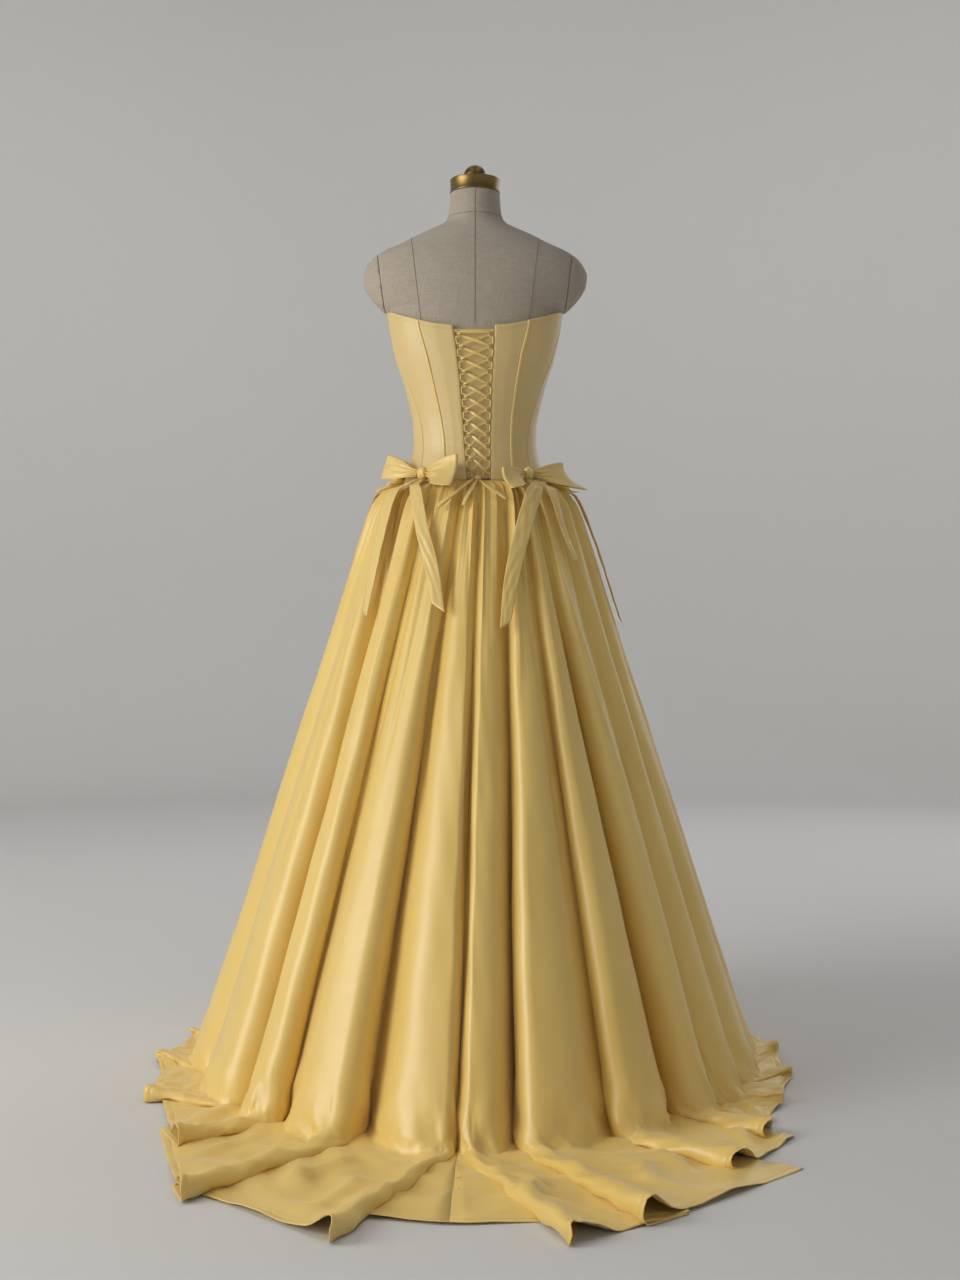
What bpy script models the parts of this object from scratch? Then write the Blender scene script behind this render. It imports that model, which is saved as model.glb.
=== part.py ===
"""Laced corset ball gown on a limbless dress form with a round stand.

The gown is cut as a maker would cut it: seven bodice panels on the form, a modesty panel behind the
laced centre back, a rouleau loop strip on each lacing edge, one lace, five gathered skirt panels with
a short train, and four ribbon bows. Every cloth piece is a thin closed wall. Panels stop 0.3 mm short
of each other at the seams.

Frame: +Z up, the origin at the middle of the stand's underside, the gown's front towards -Y and the
wearer's left towards +X. Azimuths are measured from the centre back (+Y), positive towards +X.
"""
import math

import bmesh
import bpy
import numpy as np
from mathutils.bvhtree import BVHTree

# Sizes in metres.
CLOTH = 0.0013            # skirt wall
BODICE_WALL = 0.0025      # boned bodice wall
RIBBON = 0.0012           # ribbon and lace wall
SEAM_GAP = 0.0003         # left between neighbouring pieces
MODESTY_DEPTH = 0.0047    # the modesty panel's face behind the bodice face
FORM_GAP = 0.0053         # form to bodice face, at the front and sides
LACED_GAP = 0.0029        # more of it behind the modesty panel

WAIST_SEAM_Z = 1.0585     # top of the skirt wall
HIP_Z = 1.000             # height of the hip ring that the fold tables refer to
SKIRT_TOP_Z = 1.055
SIDE_HIP, SIDE_FLOOR = 0.182, 0.522     # half width of the skirt at its top and at the floor
BACK_HIP, BACK_FLOOR = 0.150, 0.630     # its reach behind the axis
FRONT_HIP, FRONT_FLOOR = 0.138, 0.455   # its reach before the axis
HIP_RISE = 0.013          # how far a fold stands out of its valley at the hip ring
BEND_Z = 0.10             # where the skirt starts to turn out along the floor
GATHER_COLUMNS = 3        # columns from one gather to the next

STEEP_STEPS, GENTLE_STEPS = 3, 6        # columns on the two flanks of a fold
FRONT_GENTLE_STEPS = 3                  # on the gentle flank of the front folds
FRONT_FOLDS = (7, 7)                    # the front panel starts at this row of the left, right table

POLE_RADIUS, BASE_RADIUS, BASE_HEIGHT = 0.016, 0.190, 0.022
FORM_FOOT_Z = 0.862

# One row per skirt fold, from the centre back round to the centre front of each half.
# The foot is the valley at the fold's steep side, the ridge its outermost line. Angles in degrees.
# foot_hip, foot_floor, ridge_hip, ridge_floor, rise: at the hip ring, at the floor, rise there (m)
# tuck: how far the steep side swings under the ridge (degrees)
# foot_az, foot_r, ridge_az, ridge_r: where foot and ridge end at the hem. lift: ridge above the floor
LEFT_FOLDS = (
    (-1.0, 3.6, 5.0, 7.5, 0.036, 0.8, 2.0, 0.900, 10.6, 0.990, 0.030),
    (11.0, 19.0, 23.0, 26.5, 0.085, 3.0, 23.4, 0.915, 25.7, 0.915, 0.032),
    (31.0, 39.0, 37.0, 43.5, 0.055, 2.0, 32.1, 0.820, 34.9, 0.824, 0.028),
    (50.0, 49.0, 61.0, 60.5, 0.080, 2.5, 55.2, 0.657, 58.5, 0.645, 0.024),
    (73.0, 73.0, 83.0, 82.0, 0.030, 0.8, 74.0, 0.578, 84.0, 0.588, 0.016),
    (93.0, 93.0, 101.0, 101.0, 0.050, 1.2, 93.0, 0.553, 101.0, 0.560, 0.015),
    (109.0, 108.0, 116.0, 115.0, 0.052, 1.2, 107.0, 0.545, 113.5, 0.552, 0.015),
    (124.0, 123.0, 131.0, 130.0, 0.046, 1.2, 119.5, 0.528, 127.0, 0.537, 0.014),
    (138.5, 138.0, 146.0, 145.0, 0.052, 1.2, 135.0, 0.510, 142.0, 0.520, 0.015),
    (153.0, 152.0, 160.0, 159.0, 0.046, 1.2, 149.5, 0.497, 157.0, 0.505, 0.014),
    (167.0, 166.0, 173.0, 172.0, 0.044, 1.2, 164.5, 0.490, 171.5, 0.498, 0.014),
)
RIGHT_FOLDS = (
    (1.0, -3.6, 5.0, -0.8, 0.036, 0.8, -2.0, 0.900, 7.3, 0.985, 0.028),
    (12.0, 8.5, 18.0, 12.0, 0.085, 1.6, 11.3, 0.940, 13.8, 0.935, 0.036),
    (25.5, 27.0, 29.5, 31.0, 0.045, 1.5, 33.7, 0.842, 36.1, 0.826, 0.032),
    (37.0, 37.0, 44.5, 47.0, 0.075, 2.5, 37.4, 0.724, 40.8, 0.720, 0.030),
    (51.0, 50.5, 56.5, 55.5, 0.036, 1.0, 50.0, 0.628, 55.5, 0.622, 0.020),
    (66.0, 64.0, 73.0, 71.0, 0.042, 1.0, 64.5, 0.590, 72.0, 0.588, 0.016),
    (82.0, 81.0, 89.0, 88.5, 0.036, 1.0, 81.5, 0.562, 89.5, 0.567, 0.015),
    (100.0, 99.5, 108.0, 107.5, 0.050, 1.2, 99.5, 0.550, 107.0, 0.557, 0.015),
    (118.5, 118.0, 126.0, 125.5, 0.054, 1.2, 116.0, 0.534, 123.0, 0.543, 0.016),
    (137.0, 136.5, 145.0, 144.5, 0.052, 1.2, 133.5, 0.512, 141.5, 0.521, 0.015),
    (156.5, 156.0, 164.0, 163.5, 0.048, 1.2, 154.0, 0.496, 162.0, 0.503, 0.014),
)
FRONT_FOOT = (180.0, 180.0, 180.0, 0.487)   # hip, floor, hem azimuth and hem reach at the centre front

# Bodice face: one row per height. z, half width, reach behind the axis, reach before it, squareness.
BODICE = (
    (1.040, 0.1405, 0.116, 0.116, 2.00),
    (1.060, 0.1350, 0.111, 0.112, 2.00),
    (1.082, 0.1265, 0.103, 0.107, 2.00),
    (1.106, 0.1200, 0.095, 0.102, 2.00),
    (1.126, 0.1160, 0.090, 0.099, 2.00),
    (1.145, 0.1150, 0.088, 0.098, 2.00),
    (1.170, 0.1158, 0.0885, 0.100, 2.02),
    (1.1975, 0.1207, 0.091, 0.105, 2.06),
    (1.2425, 0.1320, 0.097, 0.118, 2.15),
    (1.295, 0.1486, 0.103, 0.136, 2.27),
    (1.342, 0.1590, 0.106, 0.141, 2.36),
    (1.370, 0.1632, 0.107, 0.136, 2.40),
    (1.400, 0.1660, 0.107, 0.127, 2.40),
)
# Edges and seams of the bodice. Heights of its top and bottom edge by azimuth from the centre back.
TOP_EDGE = ((0.0, 1.338), (20.0, 1.344), (45.0, 1.360), (80.0, 1.378), (95.0, 1.377), (120.0, 1.375),
            (150.0, 1.382), (165.0, 1.382), (180.0, 1.374))
BOTTOM_EDGE = ((0.0, 1.0590), (180.0, 1.0590))
# x of a seam line (m) at heights z; the two lacing edges, the princess seams, the side seams.
SEAM_Z = (1.06, 1.10, 1.14, 1.18, 1.24, 1.29, 1.34, 1.40)
LACE_EDGE_LEFT = (0.0145, 0.0170, 0.0200, 0.0230, 0.0272, 0.0325, 0.0395, 0.0480)
LACE_EDGE_RIGHT = (-0.0290, -0.0290, -0.0290, -0.0303, -0.0317, -0.0344, -0.0362, -0.0370)
PRINCESS_LEFT = (0.0560, 0.0560, 0.0575, 0.0640, 0.0770, 0.0890, 0.1030, 0.1100)
PRINCESS_RIGHT = (-0.0725, -0.0680, -0.0670, -0.0690, -0.0770, -0.0860, -0.0985, -0.1050)
SIDE_SEAM_DEG = (55.0, 53.0, 57.0, 61.0, 68.0, 75.0, 80.0, 82.0)
FRONT_SEAM_DEG = (151.0, 151.0, 151.0, 150.0, 147.0, 143.0, 141.0, 141.0)

# Form: one row per ring. z, half width, reach behind, reach before, squareness.
FORM_LOWER = (
    (0.862, 0.128, 0.098, 0.090, 2.0),
    (0.870, 0.143, 0.113, 0.104, 2.0),
    (0.910, 0.153, 0.125, 0.114, 2.0),
    (1.010, 0.145, 0.119, 0.113, 2.0),
)
FORM_UPPER = (
    (1.382, 0.1600, 0.1000, 0.1265, 2.40),
    (1.390, 0.1760, 0.1000, 0.1240, 2.30),
    (1.402, 0.1890, 0.1000, 0.1210, 2.20),
    (1.416, 0.2000, 0.1000, 0.1170, 2.12),
    (1.431, 0.2075, 0.0995, 0.1125, 2.06),
    (1.450, 0.2100, 0.0980, 0.1065, 2.00),
    (1.469, 0.2030, 0.0945, 0.0990, 2.00),
    (1.484, 0.1900, 0.0895, 0.0920, 2.00),
    (1.495, 0.1725, 0.0840, 0.0850, 2.05),
    (1.509, 0.1410, 0.0765, 0.0770, 2.10),
    (1.524, 0.1120, 0.0680, 0.0680, 2.10),
    (1.537, 0.0830, 0.0590, 0.0590, 2.05),
    (1.548, 0.0610, 0.0530, 0.0530, 2.00),
    (1.562, 0.0505, 0.0495, 0.0495, 2.00),
    (1.606, 0.0460, 0.0460, 0.0460, 2.00),
)
FORM_SEGMENTS = 28
ARM_PLANE = (0.1660, 1.370, 0.1810, 1.490)   # x and z of two points of the arm plate's flat

# Loops and lace.
LOOP_ROWS, LOOP_TOP_Z, LOOP_PITCH = 12, 1.3240, 0.0224
LOOP_RADIUS, LOOP_REACH = 0.0013, 0.0104
LACE_WIDTH, LACE_THROAT = 0.0055, 0.0027
LACE_KNOT = (-0.0050, 1.0640)

MATERIALS = {
    "bodice_satin": ("E2C887", 0.42, 0.0),
    "skirt_satin": ("EACB77", 0.36, 0.0),
    "ribbon_satin": ("EBCB7C", 0.34, 0.0),
    "form_linen": ("A39A8D", 0.90, 0.0),
    "cap_brass": ("8E7748", 0.38, 1.0),
    "stand_steel": ("3A3836", 0.45, 1.0),
}


def linear(code):
    parts = [int(code[i:i + 2], 16) / 255.0 for i in (0, 2, 4)]
    return [c / 12.92 if c <= 0.04045 else ((c + 0.055) / 1.055) ** 2.4 for c in parts]


def make_material(key, name):
    code, roughness, metallic = MATERIALS[key]
    mat = bpy.data.materials.new(name)
    mat.use_nodes = True
    shader = mat.node_tree.nodes["Principled BSDF"]
    shader.inputs["Base Color"].default_value = (*linear(code), 1.0)
    shader.inputs["Roughness"].default_value = roughness
    shader.inputs["Metallic"].default_value = metallic
    mat.diffuse_color = (*linear(code), 1.0)
    return mat


def add_solid(name, verts, faces, material_key):
    """Makes a mesh object, welds its doubles and turns its faces outward."""
    mesh = bpy.data.meshes.new(name)
    mesh.from_pydata([tuple(map(float, v)) for v in verts], [], faces)
    obj = bpy.data.objects.new(name, mesh)
    bpy.context.scene.collection.objects.link(obj)
    bm = bmesh.new()
    bm.from_mesh(mesh)
    bmesh.ops.remove_doubles(bm, verts=bm.verts, dist=1e-6)
    bmesh.ops.recalc_face_normals(bm, faces=bm.faces)
    if bm.calc_volume(signed=True) < 0:
        bmesh.ops.reverse_faces(bm, faces=bm.faces)
    bm.to_mesh(mesh)
    bm.free()
    mesh.materials.append(make_material(material_key, name + "_material"))
    return obj


def curve_value(table, column, at):
    """Smooth value of one column of a table whose first column is the position."""
    xs = np.array([row[0] for row in table])
    ys = np.array([row[column] for row in table])
    at = min(max(at, xs[0]), xs[-1])
    i = int(min(max(np.searchsorted(xs, at) - 1, 0), len(xs) - 2))
    step = np.diff(ys) / np.diff(xs)
    slope = np.empty(len(xs))
    slope[0], slope[-1] = step[0], step[-1]
    for k in range(1, len(xs) - 1):
        slope[k] = 0.0 if step[k - 1] * step[k] <= 0 else 2 * step[k - 1] * step[k] / (step[k - 1] + step[k])
    h = xs[i + 1] - xs[i]
    u = (at - xs[i]) / h
    return ((1 + 2 * u) * (1 - u) ** 2 * ys[i] + u * (1 - u) ** 2 * h * slope[i]
            + u * u * (3 - 2 * u) * ys[i + 1] + u * u * (u - 1) * h * slope[i + 1])


def oval(az, half_width, back, front, power=2.0, out=0.0):
    """Point of an oval ring at an azimuth in degrees, moved out along the ring's normal."""
    s, c = math.sin(math.radians(az)), math.cos(math.radians(az))
    reach = back if c > 0 else front
    u, v = abs(s) ** (2 / power), abs(c) ** (2 / power)
    nx = math.copysign(u ** (power - 1) / half_width, s)
    ny = math.copysign(v ** (power - 1) / reach, c)
    size = math.hypot(nx, ny)
    return (math.copysign(half_width * u, s) + out * nx / size,
            math.copysign(reach * v, c) + out * ny / size)


def shell(name, face, back, material_key, around=False):
    """Closed wall between two grids of points with the same rows and columns."""
    rows, cols = len(face), len(face[0])
    verts = [p for row in face for p in row] + [p for row in back for p in row]
    half = rows * cols

    def at(layer, r, c):
        return layer * half + r * cols + c % cols

    faces = []
    last = cols if around else cols - 1
    for r in range(rows - 1):
        for c in range(last):
            # Both layers are split along the same diagonal, so that a twisted wall keeps its thickness.
            a, b, d, e = (r, c), (r + 1, c), (r + 1, c + 1), (r, c + 1)
            pa, pb, pd, pe = (verts[at(0, *q)] for q in (a, b, d, e))
            if math.dist(pa, pd) > math.dist(pb, pe):
                a, b, d, e = b, d, e, a
            faces.append((at(0, *a), at(0, *b), at(0, *d)))
            faces.append((at(0, *a), at(0, *d), at(0, *e)))
            faces.append((at(1, *a), at(1, *d), at(1, *b)))
            faces.append((at(1, *a), at(1, *e), at(1, *d)))
    for c in range(last):
        faces.append((at(0, 0, c), at(0, 0, c + 1), at(1, 0, c + 1), at(1, 0, c)))
        low = rows - 1
        faces.append((at(0, low, c + 1), at(0, low, c), at(1, low, c), at(1, low, c + 1)))
    if not around:
        for r in range(rows - 1):
            faces.append((at(0, r + 1, 0), at(0, r, 0), at(1, r, 0), at(1, r + 1, 0)))
            end = cols - 1
            faces.append((at(0, r, end), at(0, r + 1, end), at(1, r + 1, end), at(1, r, end)))
    return add_solid(name, verts, faces, material_key)


def grid_normals(grid, around=False):
    """Unit normals of a grid of points, each the mean of the faces that meet there."""
    grid = np.asarray(grid, float)
    ring = np.concatenate([grid, grid[:, :1]], axis=1) if around else grid
    one, other = ring[1:, 1:] - ring[:-1, :-1], ring[1:, :-1] - ring[:-1, 1:]
    face = np.cross(one, other)
    face /= np.maximum(np.linalg.norm(face, axis=2, keepdims=True), 1e-12)
    total = np.zeros_like(ring)
    total[:-1, :-1] += face
    total[1:, :-1] += face
    total[:-1, 1:] += face
    total[1:, 1:] += face
    if around:
        total[:, 0] += total[:, -1]
        total = total[:, :-1]
    return total / np.maximum(np.linalg.norm(total, axis=2, keepdims=True), 1e-12)


def turned(name, profile, material_key, segments=24, tilt=0.0):
    """Solid of revolution about Z from (radius, z) pairs that start and end on the axis."""
    verts = [(0.0, 0.0, profile[0][1])]
    faces = []
    for radius, z in profile[1:-1]:
        for s in range(segments):
            a = 2 * math.pi * s / segments
            verts.append((radius * math.cos(a), radius * math.sin(a), z + tilt * radius * math.cos(a)))
    verts.append((0.0, 0.0, profile[-1][1]))
    rings = len(profile) - 2
    for s in range(segments):
        n = (s + 1) % segments
        faces.append((0, 1 + n, 1 + s))
        for r in range(rings - 1):
            a, b = 1 + r * segments, 1 + (r + 1) * segments
            faces.append((a + s, a + n, b + n, b + s))
        a = 1 + (rings - 1) * segments
        faces.append((a + s, a + n, len(verts) - 1))
    return add_solid(name, verts, faces, material_key)


# Bodice surface

def bodice_ring(z):
    return tuple(curve_value(BODICE, k, z) for k in (1, 2, 3, 4))


def bodice_point(az, z, out=0.0):
    x, y = oval(az, *bodice_ring(z), out=out)
    return x, y, z


def az_of_x(x, z):
    half_width, _, _, power = bodice_ring(z)
    share = min(1.0, abs(x) / half_width) ** (power / 2)
    return math.degrees(math.copysign(math.asin(share), x))


def back_point(x, z, out=0.0):
    """Point over the laced back at a given x and height, out from the bodice face."""
    return bodice_point(az_of_x(x, z), z, out)


def seam_azimuth(values, z, is_x):
    value = float(np.interp(z, SEAM_Z, values))
    return az_of_x(value, z) if is_x else value


def edge_height(table, az):
    return curve_value(table, 1, abs(az))


def bodice_panel(name, from_seam, to_seam, columns, rows=9):
    """Panel between two seams, each given as (values, is_x, sign)."""
    faces, backs = [], []
    for r in range(rows):
        face_row, back_row = [], []
        for c in range(columns):
            u = c / (columns - 1)
            z = 1.20
            for _ in range(4):
                ends = []
                for values, is_x, sign in (from_seam, to_seam):
                    ends.append(sign * seam_azimuth(values, z, is_x))
                az = ends[0] + (ends[1] - ends[0]) * u
                low, high = edge_height(BOTTOM_EDGE, az), edge_height(TOP_EDGE, az)
                z = low + (high - low) * (1 - r / (rows - 1))
            pull = math.degrees(0.5 * SEAM_GAP / bodice_ring(z)[1])
            az += pull * (1.0 if u == 0 else -1.0 if u == 1 else 0.0) * (1 if ends[1] > ends[0] else -1)
            face_row.append(bodice_point(az, z))
            back_row.append(bodice_point(az, z, -BODICE_WALL))
        faces.append(face_row)
        backs.append(back_row)
    return shell(name, faces, backs, "bodice_satin")


def build_bodice():
    lace_l, lace_r = (LACE_EDGE_LEFT, True, 1), (LACE_EDGE_RIGHT, True, 1)
    princess_l, princess_r = (PRINCESS_LEFT, True, 1), (PRINCESS_RIGHT, True, 1)
    side_l, side_r = (SIDE_SEAM_DEG, False, 1), (SIDE_SEAM_DEG, False, -1)
    front_l = (FRONT_SEAM_DEG, False, 1)
    front_r = ([360.0 - v for v in FRONT_SEAM_DEG], False, 1)
    bodice_panel("bodice_back_left", lace_l, princess_l, 4)
    bodice_panel("bodice_back_right", princess_r, lace_r, 4)
    bodice_panel("bodice_side_back_left", princess_l, side_l, 4)
    bodice_panel("bodice_side_back_right", side_r, princess_r, 4)
    bodice_panel("bodice_side_front_left", side_l, front_l, 9)
    bodice_panel("bodice_side_front_right", ([-v for v in FRONT_SEAM_DEG], False, 1), side_r, 9)
    bodice_front(front_l, front_r)


def bodice_front(from_seam, to_seam):
    """Centre front panel, which runs across the azimuth of 180 degrees."""
    faces, backs = [], []
    for r in range(9):
        face_row, back_row = [], []
        for c in range(9):
            u = c / 8
            z = 1.20
            for _ in range(4):
                a = seam_azimuth(from_seam[0], z, False)
                b = seam_azimuth(to_seam[0], z, False)
                az = a + (b - a) * u
                fold = az if az <= 180 else 360 - az
                low, high = edge_height(BOTTOM_EDGE, fold), edge_height(TOP_EDGE, fold)
                z = low + (high - low) * (1 - r / 8)
            az += math.degrees(0.5 * SEAM_GAP / 0.1) * (1.0 if u == 0 else -1.0 if u == 1 else 0.0)
            face_row.append(bodice_point(az, z))
            back_row.append(bodice_point(az, z, -BODICE_WALL))
        faces.append(face_row)
        backs.append(back_row)
    return shell("bodice_front", faces, backs, "bodice_satin")


def build_modesty_panel():
    """Plain panel behind the lacing, between the form and the two back panels."""
    faces, backs = [], []
    for r in range(12):
        z = 1.062 + (1.334 - 1.062) * (1 - r / 11)
        left = float(np.interp(z, SEAM_Z, LACE_EDGE_LEFT)) + 0.016
        right = float(np.interp(z, SEAM_Z, LACE_EDGE_RIGHT)) - 0.016
        xs = [left + (right - left) * c / 5 for c in range(6)]
        faces.append([back_point(x, z, -MODESTY_DEPTH) for x in xs])
        backs.append([back_point(x, z, -MODESTY_DEPTH - 0.0014) for x in xs])
    shell("modesty_panel", faces, backs, "bodice_satin")


def build_casings():
    """Narrow satin casing laid over each back princess seam."""
    for name, values in (("seam_casing_left", PRINCESS_LEFT), ("seam_casing_right", PRINCESS_RIGHT)):
        faces, backs = [], []
        for r in range(9):
            z = 1.20
            for _ in range(4):
                az = seam_azimuth(values, z, True)
                low, high = edge_height(BOTTOM_EDGE, az) + 0.001, edge_height(TOP_EDGE, az) - 0.001
                z = low + (high - low) * (1 - r / 8)
            x = float(np.interp(z, SEAM_Z, values))
            xs = [x + d for d in (0.0030, 0.0, -0.0030)]
            faces.append([back_point(v, z, 0.0011 + crown) for v, crown in zip(xs, (0.0, 0.0005, 0.0))])
            backs.append([back_point(v, z, 0.0004) for v in xs])
        shell(name, faces, backs, "ribbon_satin")


# Loops and lace

def lacing_edge(side, z):
    return float(np.interp(z, SEAM_Z, LACE_EDGE_LEFT if side > 0 else LACE_EDGE_RIGHT))


def loop_point(side, row, reach, rise, out):
    """Point by a loop: reach from the lacing edge into the gap, rise from the loop's middle."""
    z = LOOP_TOP_Z - LOOP_PITCH * row + rise
    return back_point(lacing_edge(side, z) - side * reach, z, out)


def tube(name, path, radius, sides, material_key):
    path = np.asarray(path, float)
    tangent = np.gradient(path, axis=0)
    tangent /= np.linalg.norm(tangent, axis=1, keepdims=True)
    verts, faces = [], []
    for p, t in zip(path, tangent):
        across = np.cross(t, (0.0, 1.0, 0.0))
        across /= np.linalg.norm(across)
        up = np.cross(across, t)
        for s in range(sides):
            a = 2 * math.pi * s / sides
            verts.append(p + radius * (math.cos(a) * across + math.sin(a) * up))
    for i in range(len(path) - 1):
        for s in range(sides):
            n = (s + 1) % sides
            faces.append((i * sides + s, i * sides + n, (i + 1) * sides + n, (i + 1) * sides + s))
    faces.append(tuple(range(sides))[::-1])
    faces.append(tuple((len(path) - 1) * sides + s for s in range(sides)))
    return add_solid(name, verts, faces, material_key)


def build_loops():
    """One rouleau a side, folded into loops that stand out of the lacing edge into the gap."""
    shape = ((-0.0078, 0.0023), (-0.0052, 0.0032), (-0.0044, 0.0080), (0.0, LOOP_REACH),
             (0.0044, 0.0080), (0.0052, 0.0032), (0.0078, 0.0023))
    for name, side in (("loop_strip_left", 1), ("loop_strip_right", -1)):
        path = []
        for row in range(LOOP_ROWS):
            for rise, reach in shape[::-1]:
                path.append(loop_point(side, row, reach, rise, 0.0))
        tube(name, path, LOOP_RADIUS, 6, "ribbon_satin")


def strip(name, path, sides, widths, wall, material_key):
    """Flat ribbon along a path. sides are the directions across it, widths its width at each point."""
    path = np.asarray(path, float)
    sides = np.asarray(sides, float)
    tangent = np.gradient(path, axis=0)
    tangent /= np.maximum(np.linalg.norm(tangent, axis=1, keepdims=True), 1e-12)
    sides = sides - (sides * tangent).sum(axis=1, keepdims=True) * tangent
    sides /= np.linalg.norm(sides, axis=1, keepdims=True)
    normal = np.cross(tangent, sides)
    face, back = [], []
    for i, p in enumerate(path):
        row_f, row_b = [], []
        for u in (-1.0, 1.0):
            q = p + sides[i] * (0.5 * widths[i] * u)
            row_f.append(q + normal[i] * wall / 2)
            row_b.append(q - normal[i] * wall / 2)
        face.append(row_f)
        back.append(row_b)
    return shell(name, face, back, material_key)


def lace_turn(side, row):
    """The lace comes over a loop's end, goes down through the loop and back under its end."""
    over, under = 0.0028, -0.0023
    return [loop_point(side, row, r, v, w) for r, v, w in (
        (0.0150, 0.0034, over), (0.0106, 0.0012, over), (0.0078, 0.0005, 0.0018),
        (0.0066, 0.0, -0.0001), (0.0078, -0.0005, -0.0018), (0.0106, -0.0012, under),
        (0.0150, -0.0034, under))]


def lace_run(first_side):
    """Half of the lace, from the top pair of loops down to the bow at the waist."""
    points = []
    side = first_side
    for row in range(LOOP_ROWS):
        points += lace_turn(side, row)
        if row < LOOP_ROWS - 1:
            a = np.array(loop_point(side, row, 0.0140, 0.0, 0.0))
            b = np.array(loop_point(-side, row + 1, 0.0140, 0.0, 0.0))
            middle = (a + b) / 2
            above = (row + (first_side > 0)) % 2
            points.append(back_point(middle[0], middle[2], 0.0024 if above else 0.0003))
        side = -side
    return points, -side


def build_lace():
    left, end_left = lace_run(1)
    right, end_right = lace_run(-1)
    knot_x, knot_z = LACE_KNOT
    tail = []
    for end in (end_left, end_right):
        tail.append([back_point(knot_x + end * 0.0125, knot_z + 0.0035, 0.0004),
                     back_point(knot_x + end * 0.0072, knot_z + 0.0012, 0.0044)])
    top = [back_point(0.0125, LOOP_TOP_Z + 0.0035, 0.0030), back_point(-0.0115, LOOP_TOP_Z + 0.0035, 0.0030)]
    path = tail[0][::-1] + left[::-1] + top + right + tail[1]
    widths = []
    for p in path:
        near = min(abs(p[0] - (lacing_edge(s, p[2]) - s * 0.0104)) for s in (1, -1))
        widths.append(LACE_THROAT + (LACE_WIDTH - LACE_THROAT) * min(1.0, near / 0.010))
    strip("lace", path, [(0, 0, 1)] * len(path), widths, 0.0008, "ribbon_satin")
    build_lace_bow()


def lump(name, centre, radii, turn, material_key, rings=5, segments=8):
    """Small closed rounded knot. radii along its own axes, turn about the y axis in degrees."""
    verts, faces = [(0.0, 0.0, 1.0)], []
    for r in range(1, rings):
        a = math.pi * r / rings
        for s in range(segments):
            b = 2 * math.pi * s / segments
            verts.append((math.sin(a) * math.cos(b), math.sin(a) * math.sin(b), math.cos(a)))
    verts.append((0.0, 0.0, -1.0))
    for s in range(segments):
        n = (s + 1) % segments
        faces.append((0, 1 + s, 1 + n))
        for r in range(rings - 2):
            a, b = 1 + r * segments, 1 + (r + 1) * segments
            faces.append((a + s, b + s, b + n, a + n))
        a = 1 + (rings - 2) * segments
        faces.append((a + s, len(verts) - 1, a + n))
    c, s = math.cos(math.radians(turn)), math.sin(math.radians(turn))
    out = []
    for x, y, z in verts:
        x, y, z = x * radii[0], y * radii[1], z * radii[2]
        out.append((centre[0] + c * x + s * z, centre[1] + y, centre[2] - s * x + c * z))
    return add_solid(name, out, faces, material_key)


def build_lace_bow():
    """Knot, one small loop and the two free ends of the lace, hanging over the gathers."""
    knot_az = az_of_x(LACE_KNOT[0], 1.064)
    centre = garment_point(knot_az, 1.0615, 0.0090)
    knot = lump("lace_knot", centre, (0.0060, 0.0042, 0.0055), 0.0, "ribbon_satin")
    loop = []
    for az, z, width, clear in ((knot_az + 3.4, 1.0610, 0.004, 0.0100), (5.0, 1.0480, 0.005, 0.0130),
                                (12.0, 1.0250, 0.005, 0.0125), (17.0, 1.0110, 0.005, 0.0100),
                                (18.0, 1.0060, 0.005, 0.0090), (16.0, 1.0120, 0.005, 0.0075),
                                (9.0, 1.0340, 0.005, 0.0070), (5.0, 1.0470, 0.005, 0.0075),
                                (knot_az + 3.4, 1.0560, 0.004, 0.0070)):
        swing = math.degrees(0.35 * width / 0.13)
        loop.append([garment_point(az - swing, z - 0.35 * width, clear),
                     garment_point(az + swing, z + 0.35 * width, clear)])
    draped("lace_bow_loop", loop, 0.0009, knot)
    for name, way, points in (
            ("lace_end_right", -1, ((-1.9, 1.0560, 0.003, 0.0090), (-4.5, 1.0450, 0.005, 0.0070),
                                    (-10.0, 1.0320, 0.006, 0.0060), (-14.0, 1.0200, 0.004, 0.0060))),
            ("lace_end_left", 1, ((1.0, 1.0540, 0.003, 0.0070), (3.0, 1.0440, 0.005, 0.0045),
                                  (6.0, 1.0260, 0.006, 0.0030), (8.0, 1.0080, 0.004, 0.0030)))):
        rows = []
        for az, z, width, clear in points:
            swing = math.degrees(0.42 * width / 0.14)
            az += knot_az
            rows.append([garment_point(az - way * swing, z - 0.25 * width, clear),
                         garment_point(az + way * swing, z + 0.25 * width, clear)])
        draped(name, rows, 0.0009, knot)


# Skirt

def skirt_size(z):
    u = (SKIRT_TOP_Z - z) / SKIRT_TOP_Z
    return (SIDE_HIP + (SIDE_FLOOR - SIDE_HIP) * u, BACK_HIP + (BACK_FLOOR - BACK_HIP) * u,
            FRONT_HIP + (FRONT_FLOOR - FRONT_HIP) * u, 2.0)


def fold_columns():
    """Columns round the skirt: centre back, wearer's left, centre front, wearer's right."""
    halves, cuts = [], []
    for side, (sign, folds) in enumerate(((1, LEFT_FOLDS), (-1, RIGHT_FOLDS))):
        columns = []
        marks = []
        for i, row in enumerate(folds):
            following = folds[i + 1] if i + 1 < len(folds) else None
            gentle = FRONT_GENTLE_STEPS if i >= FRONT_FOLDS[side] else GENTLE_STEPS
            marks.append(len(columns))
            for k in range(STEEP_STEPS):
                columns.append(steep_column(sign, row, k / STEEP_STEPS, k))
            for k in range(gentle):
                columns.append(gentle_column(sign, row, following, k / gentle, k))
        halves.append(columns)
        cuts.append((marks[3], marks[FRONT_FOLDS[side]]))
    end = gentle_column(1, LEFT_FOLDS[-1], None, 1.0, 0)
    ring = halves[0] + [end] + halves[1][:0:-1]
    count = len(ring)
    return ring, (0, cuts[0][0], cuts[0][1], count - cuts[1][1], count - cuts[1][0], count)


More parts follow.
